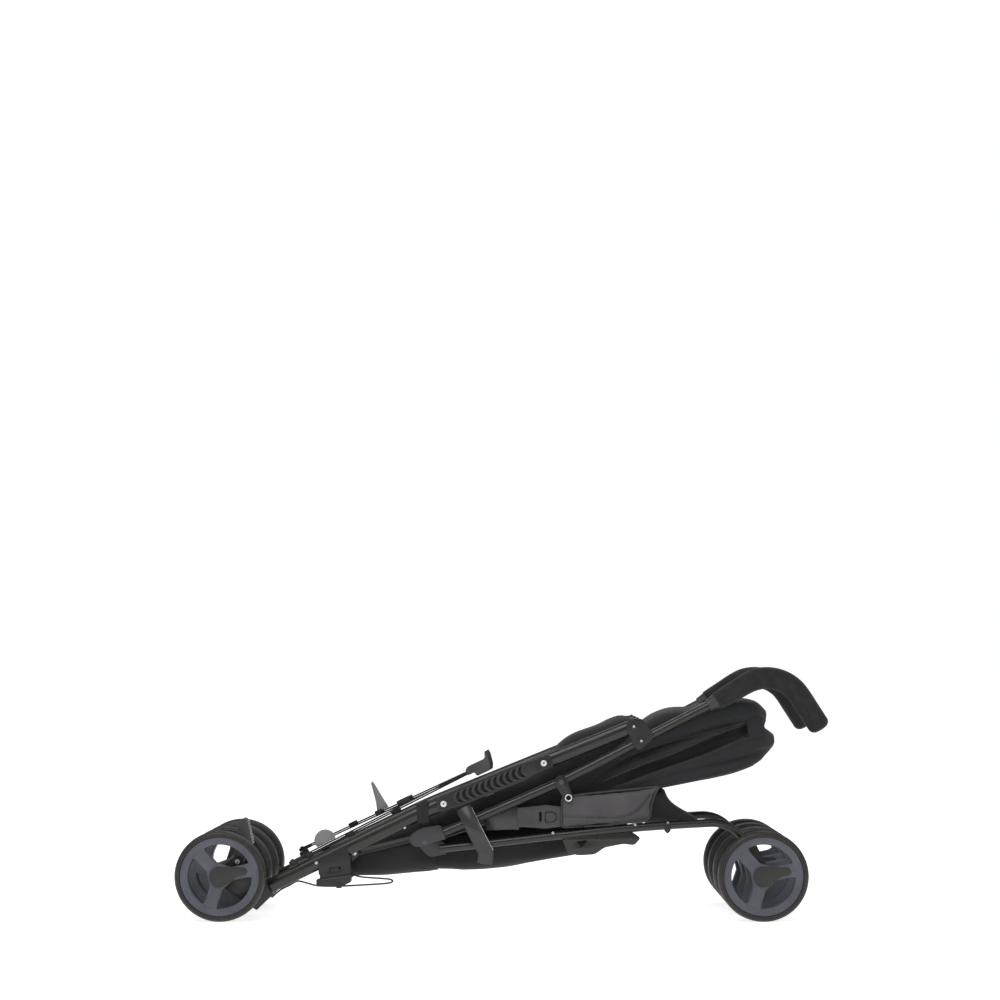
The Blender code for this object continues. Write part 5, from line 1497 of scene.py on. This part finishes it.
buckle = {
    "body": [(23.9, 153.8), (23.9, 185.8), (56.9, 188.8), (70.9, 190.8), (98.5, 187.8), (98.5, 153.8),
             (70.9, 150.8), (56.9, 151.8)],
    "slot": [(60.9, 162.8), (60.9, 178.8), (64.9, 178.8), (64.9, 162.8)],
    "button": [(72, 163), (72, 178), (84, 178), (89, 174), (89, 167), (84, 163)],
    "rim": [(70, 161), (70, 180), (85, 180), (91, 175), (91, 166), (85, 161)],
    "strap": [(26, 168, -2), (10, 168, -2.4), (-12, 167, -4), (-30, 166, -8)], "strapWidth": 38,
    "tab": [(-30, 204), (-15, 210), (-15, 215), (-30, 212)],
}


def makeBuckle():
    bm = bmesh.new()
    addSidePlate(bm, -1, shapeOf(buckle["body"][::-1], 3), -5, 2, 1.1, [shapeOf(buckle["slot"], 1.2)])
    button = shapeOf(buckle["button"], 3)
    addSidePlate(bm, -1, button[::-1], 1.4, 3.0, 0.6)
    settle("harness_buckle_body", bm, "buckleGrey", "handle_near", ["harness_buckle"])
    bm = bmesh.new()                             # the button's dark rim: painted shade in the gap round the button
    addSidePlate(bm, -1, shapeOf(buckle["rim"], 3.5)[::-1], 1.6, 2.4, 0.3, [button])
    settle("harness_buckle_rim", bm, "paintedShadeBlack", "handle_near")
    bm = bmesh.new()                             # the satin strap that runs back from the buckle
    line = smoothLine([space(-1, out, mmAt(x, z)) for x, z, out in buckle["strap"]], 6)
    flats, normals = [Vector((-0.05, 0, 0.999))] * len(line), [Vector((0, -1, 0))] * len(line)
    addRibbon(bm, line, flats, normals, buckle["strapWidth"], 1.4, 1.6)
    settle("harness_strap", bm, "satinStrap", "handle_near", sharp=50)
    bm = bmesh.new()
    addSidePlate(bm, -1, shapeOf(buckle["tab"], 2), -6, -3, 0.6)
    settle("strap_tab", bm, "paleMoulding", "rear_leg_near")


makePad()
makeBuckle()
print("harness made")


# rivets and axle ends, as head radius and height, then washer radius and height
for tag, side in sides.items():
    for name, body, out, places, sizes, finish in (
        ("knee_rivet", "handle", 9.6, ["knee"], (3.2, 1.4, 4.4, 0.6), "darkSteel"),
        ("pivot_rivets", "handle", 14.8, ["foldPivot", "platePin"], (1.7, 1.0, 2.2, 0.4), "steel"),
        ("stay_rivet", "rear_leg", -8.2, ["stayPivot"], (3.2, 1.8, 3.8, 0.6), "steel"),
        ("housing_rivet", "rear_leg", 8.4, ["housingPin"], (2.0, 1.0, 2.6, 0.5), "steel"),
        ("elbow_rivet", "handle", 13.0, ["elbow"], (3.0, 1.2, 4.2, 0.6), "darkSteel"),
    ):
        places = [space(side, out, spots[place]) for place in places]
        addRivets(f"{name}_{tag}", f"{body}_{tag}", places, *sizes, finish)
carryPlaces = [space(-1, 16.6, rearHigh.mark(a)) for a in (41, 222)]
addRivets("carry_rivets", "rear_leg_near", carryPlaces, 3.8, 1.3, 5.2, 0.9, "whiteRivet")
# black centres in the carry rivets: painted shade in their hollows
addRivets("carry_rivet_sockets", "rear_leg_near", carryPlaces, 1.5, 2.0, 1.7, 2.4, "paintedShadeBlack",
          "black_moulding")
addRivets("leg_rivet", "rear_leg_near", [space(-1, 3, mmAt(-165, 153))], 2.8, 2.2, 2.4, 0.6)
legPlaces = [space(-1, 4.6, mmAt(x, z)) for x, z in ((84, 143.4), (222, 157), (277, 160))]
addRivets("front_leg_rivets", "front_leg_near", legPlaces, 2.3, 1.6, 2.7, 0.8)
ears = (max(abs(v.co.y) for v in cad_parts["rear_housing_near"].data.vertices) - halfWidth) / mm
bm = bmesh.new()
addDisc(bm, -1, spots["pedalPivot"], 7.2, ears - 0.4, ears + 1.4)
settle("pedal_boss", bm, "armBlack", "rear_leg_near")
addRivets("pedal_screw", "rear_leg_near", [space(-1, ears + 1.6, spots["pedalPivot"])], 3.2, 2.0, 3.8, 0.6)
for tag in sides:
    for end in ("rear", "front"):
        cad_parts[f"{end}_axle_{tag}"].data.materials[0] = finishes["steel"]
print("rivets made")
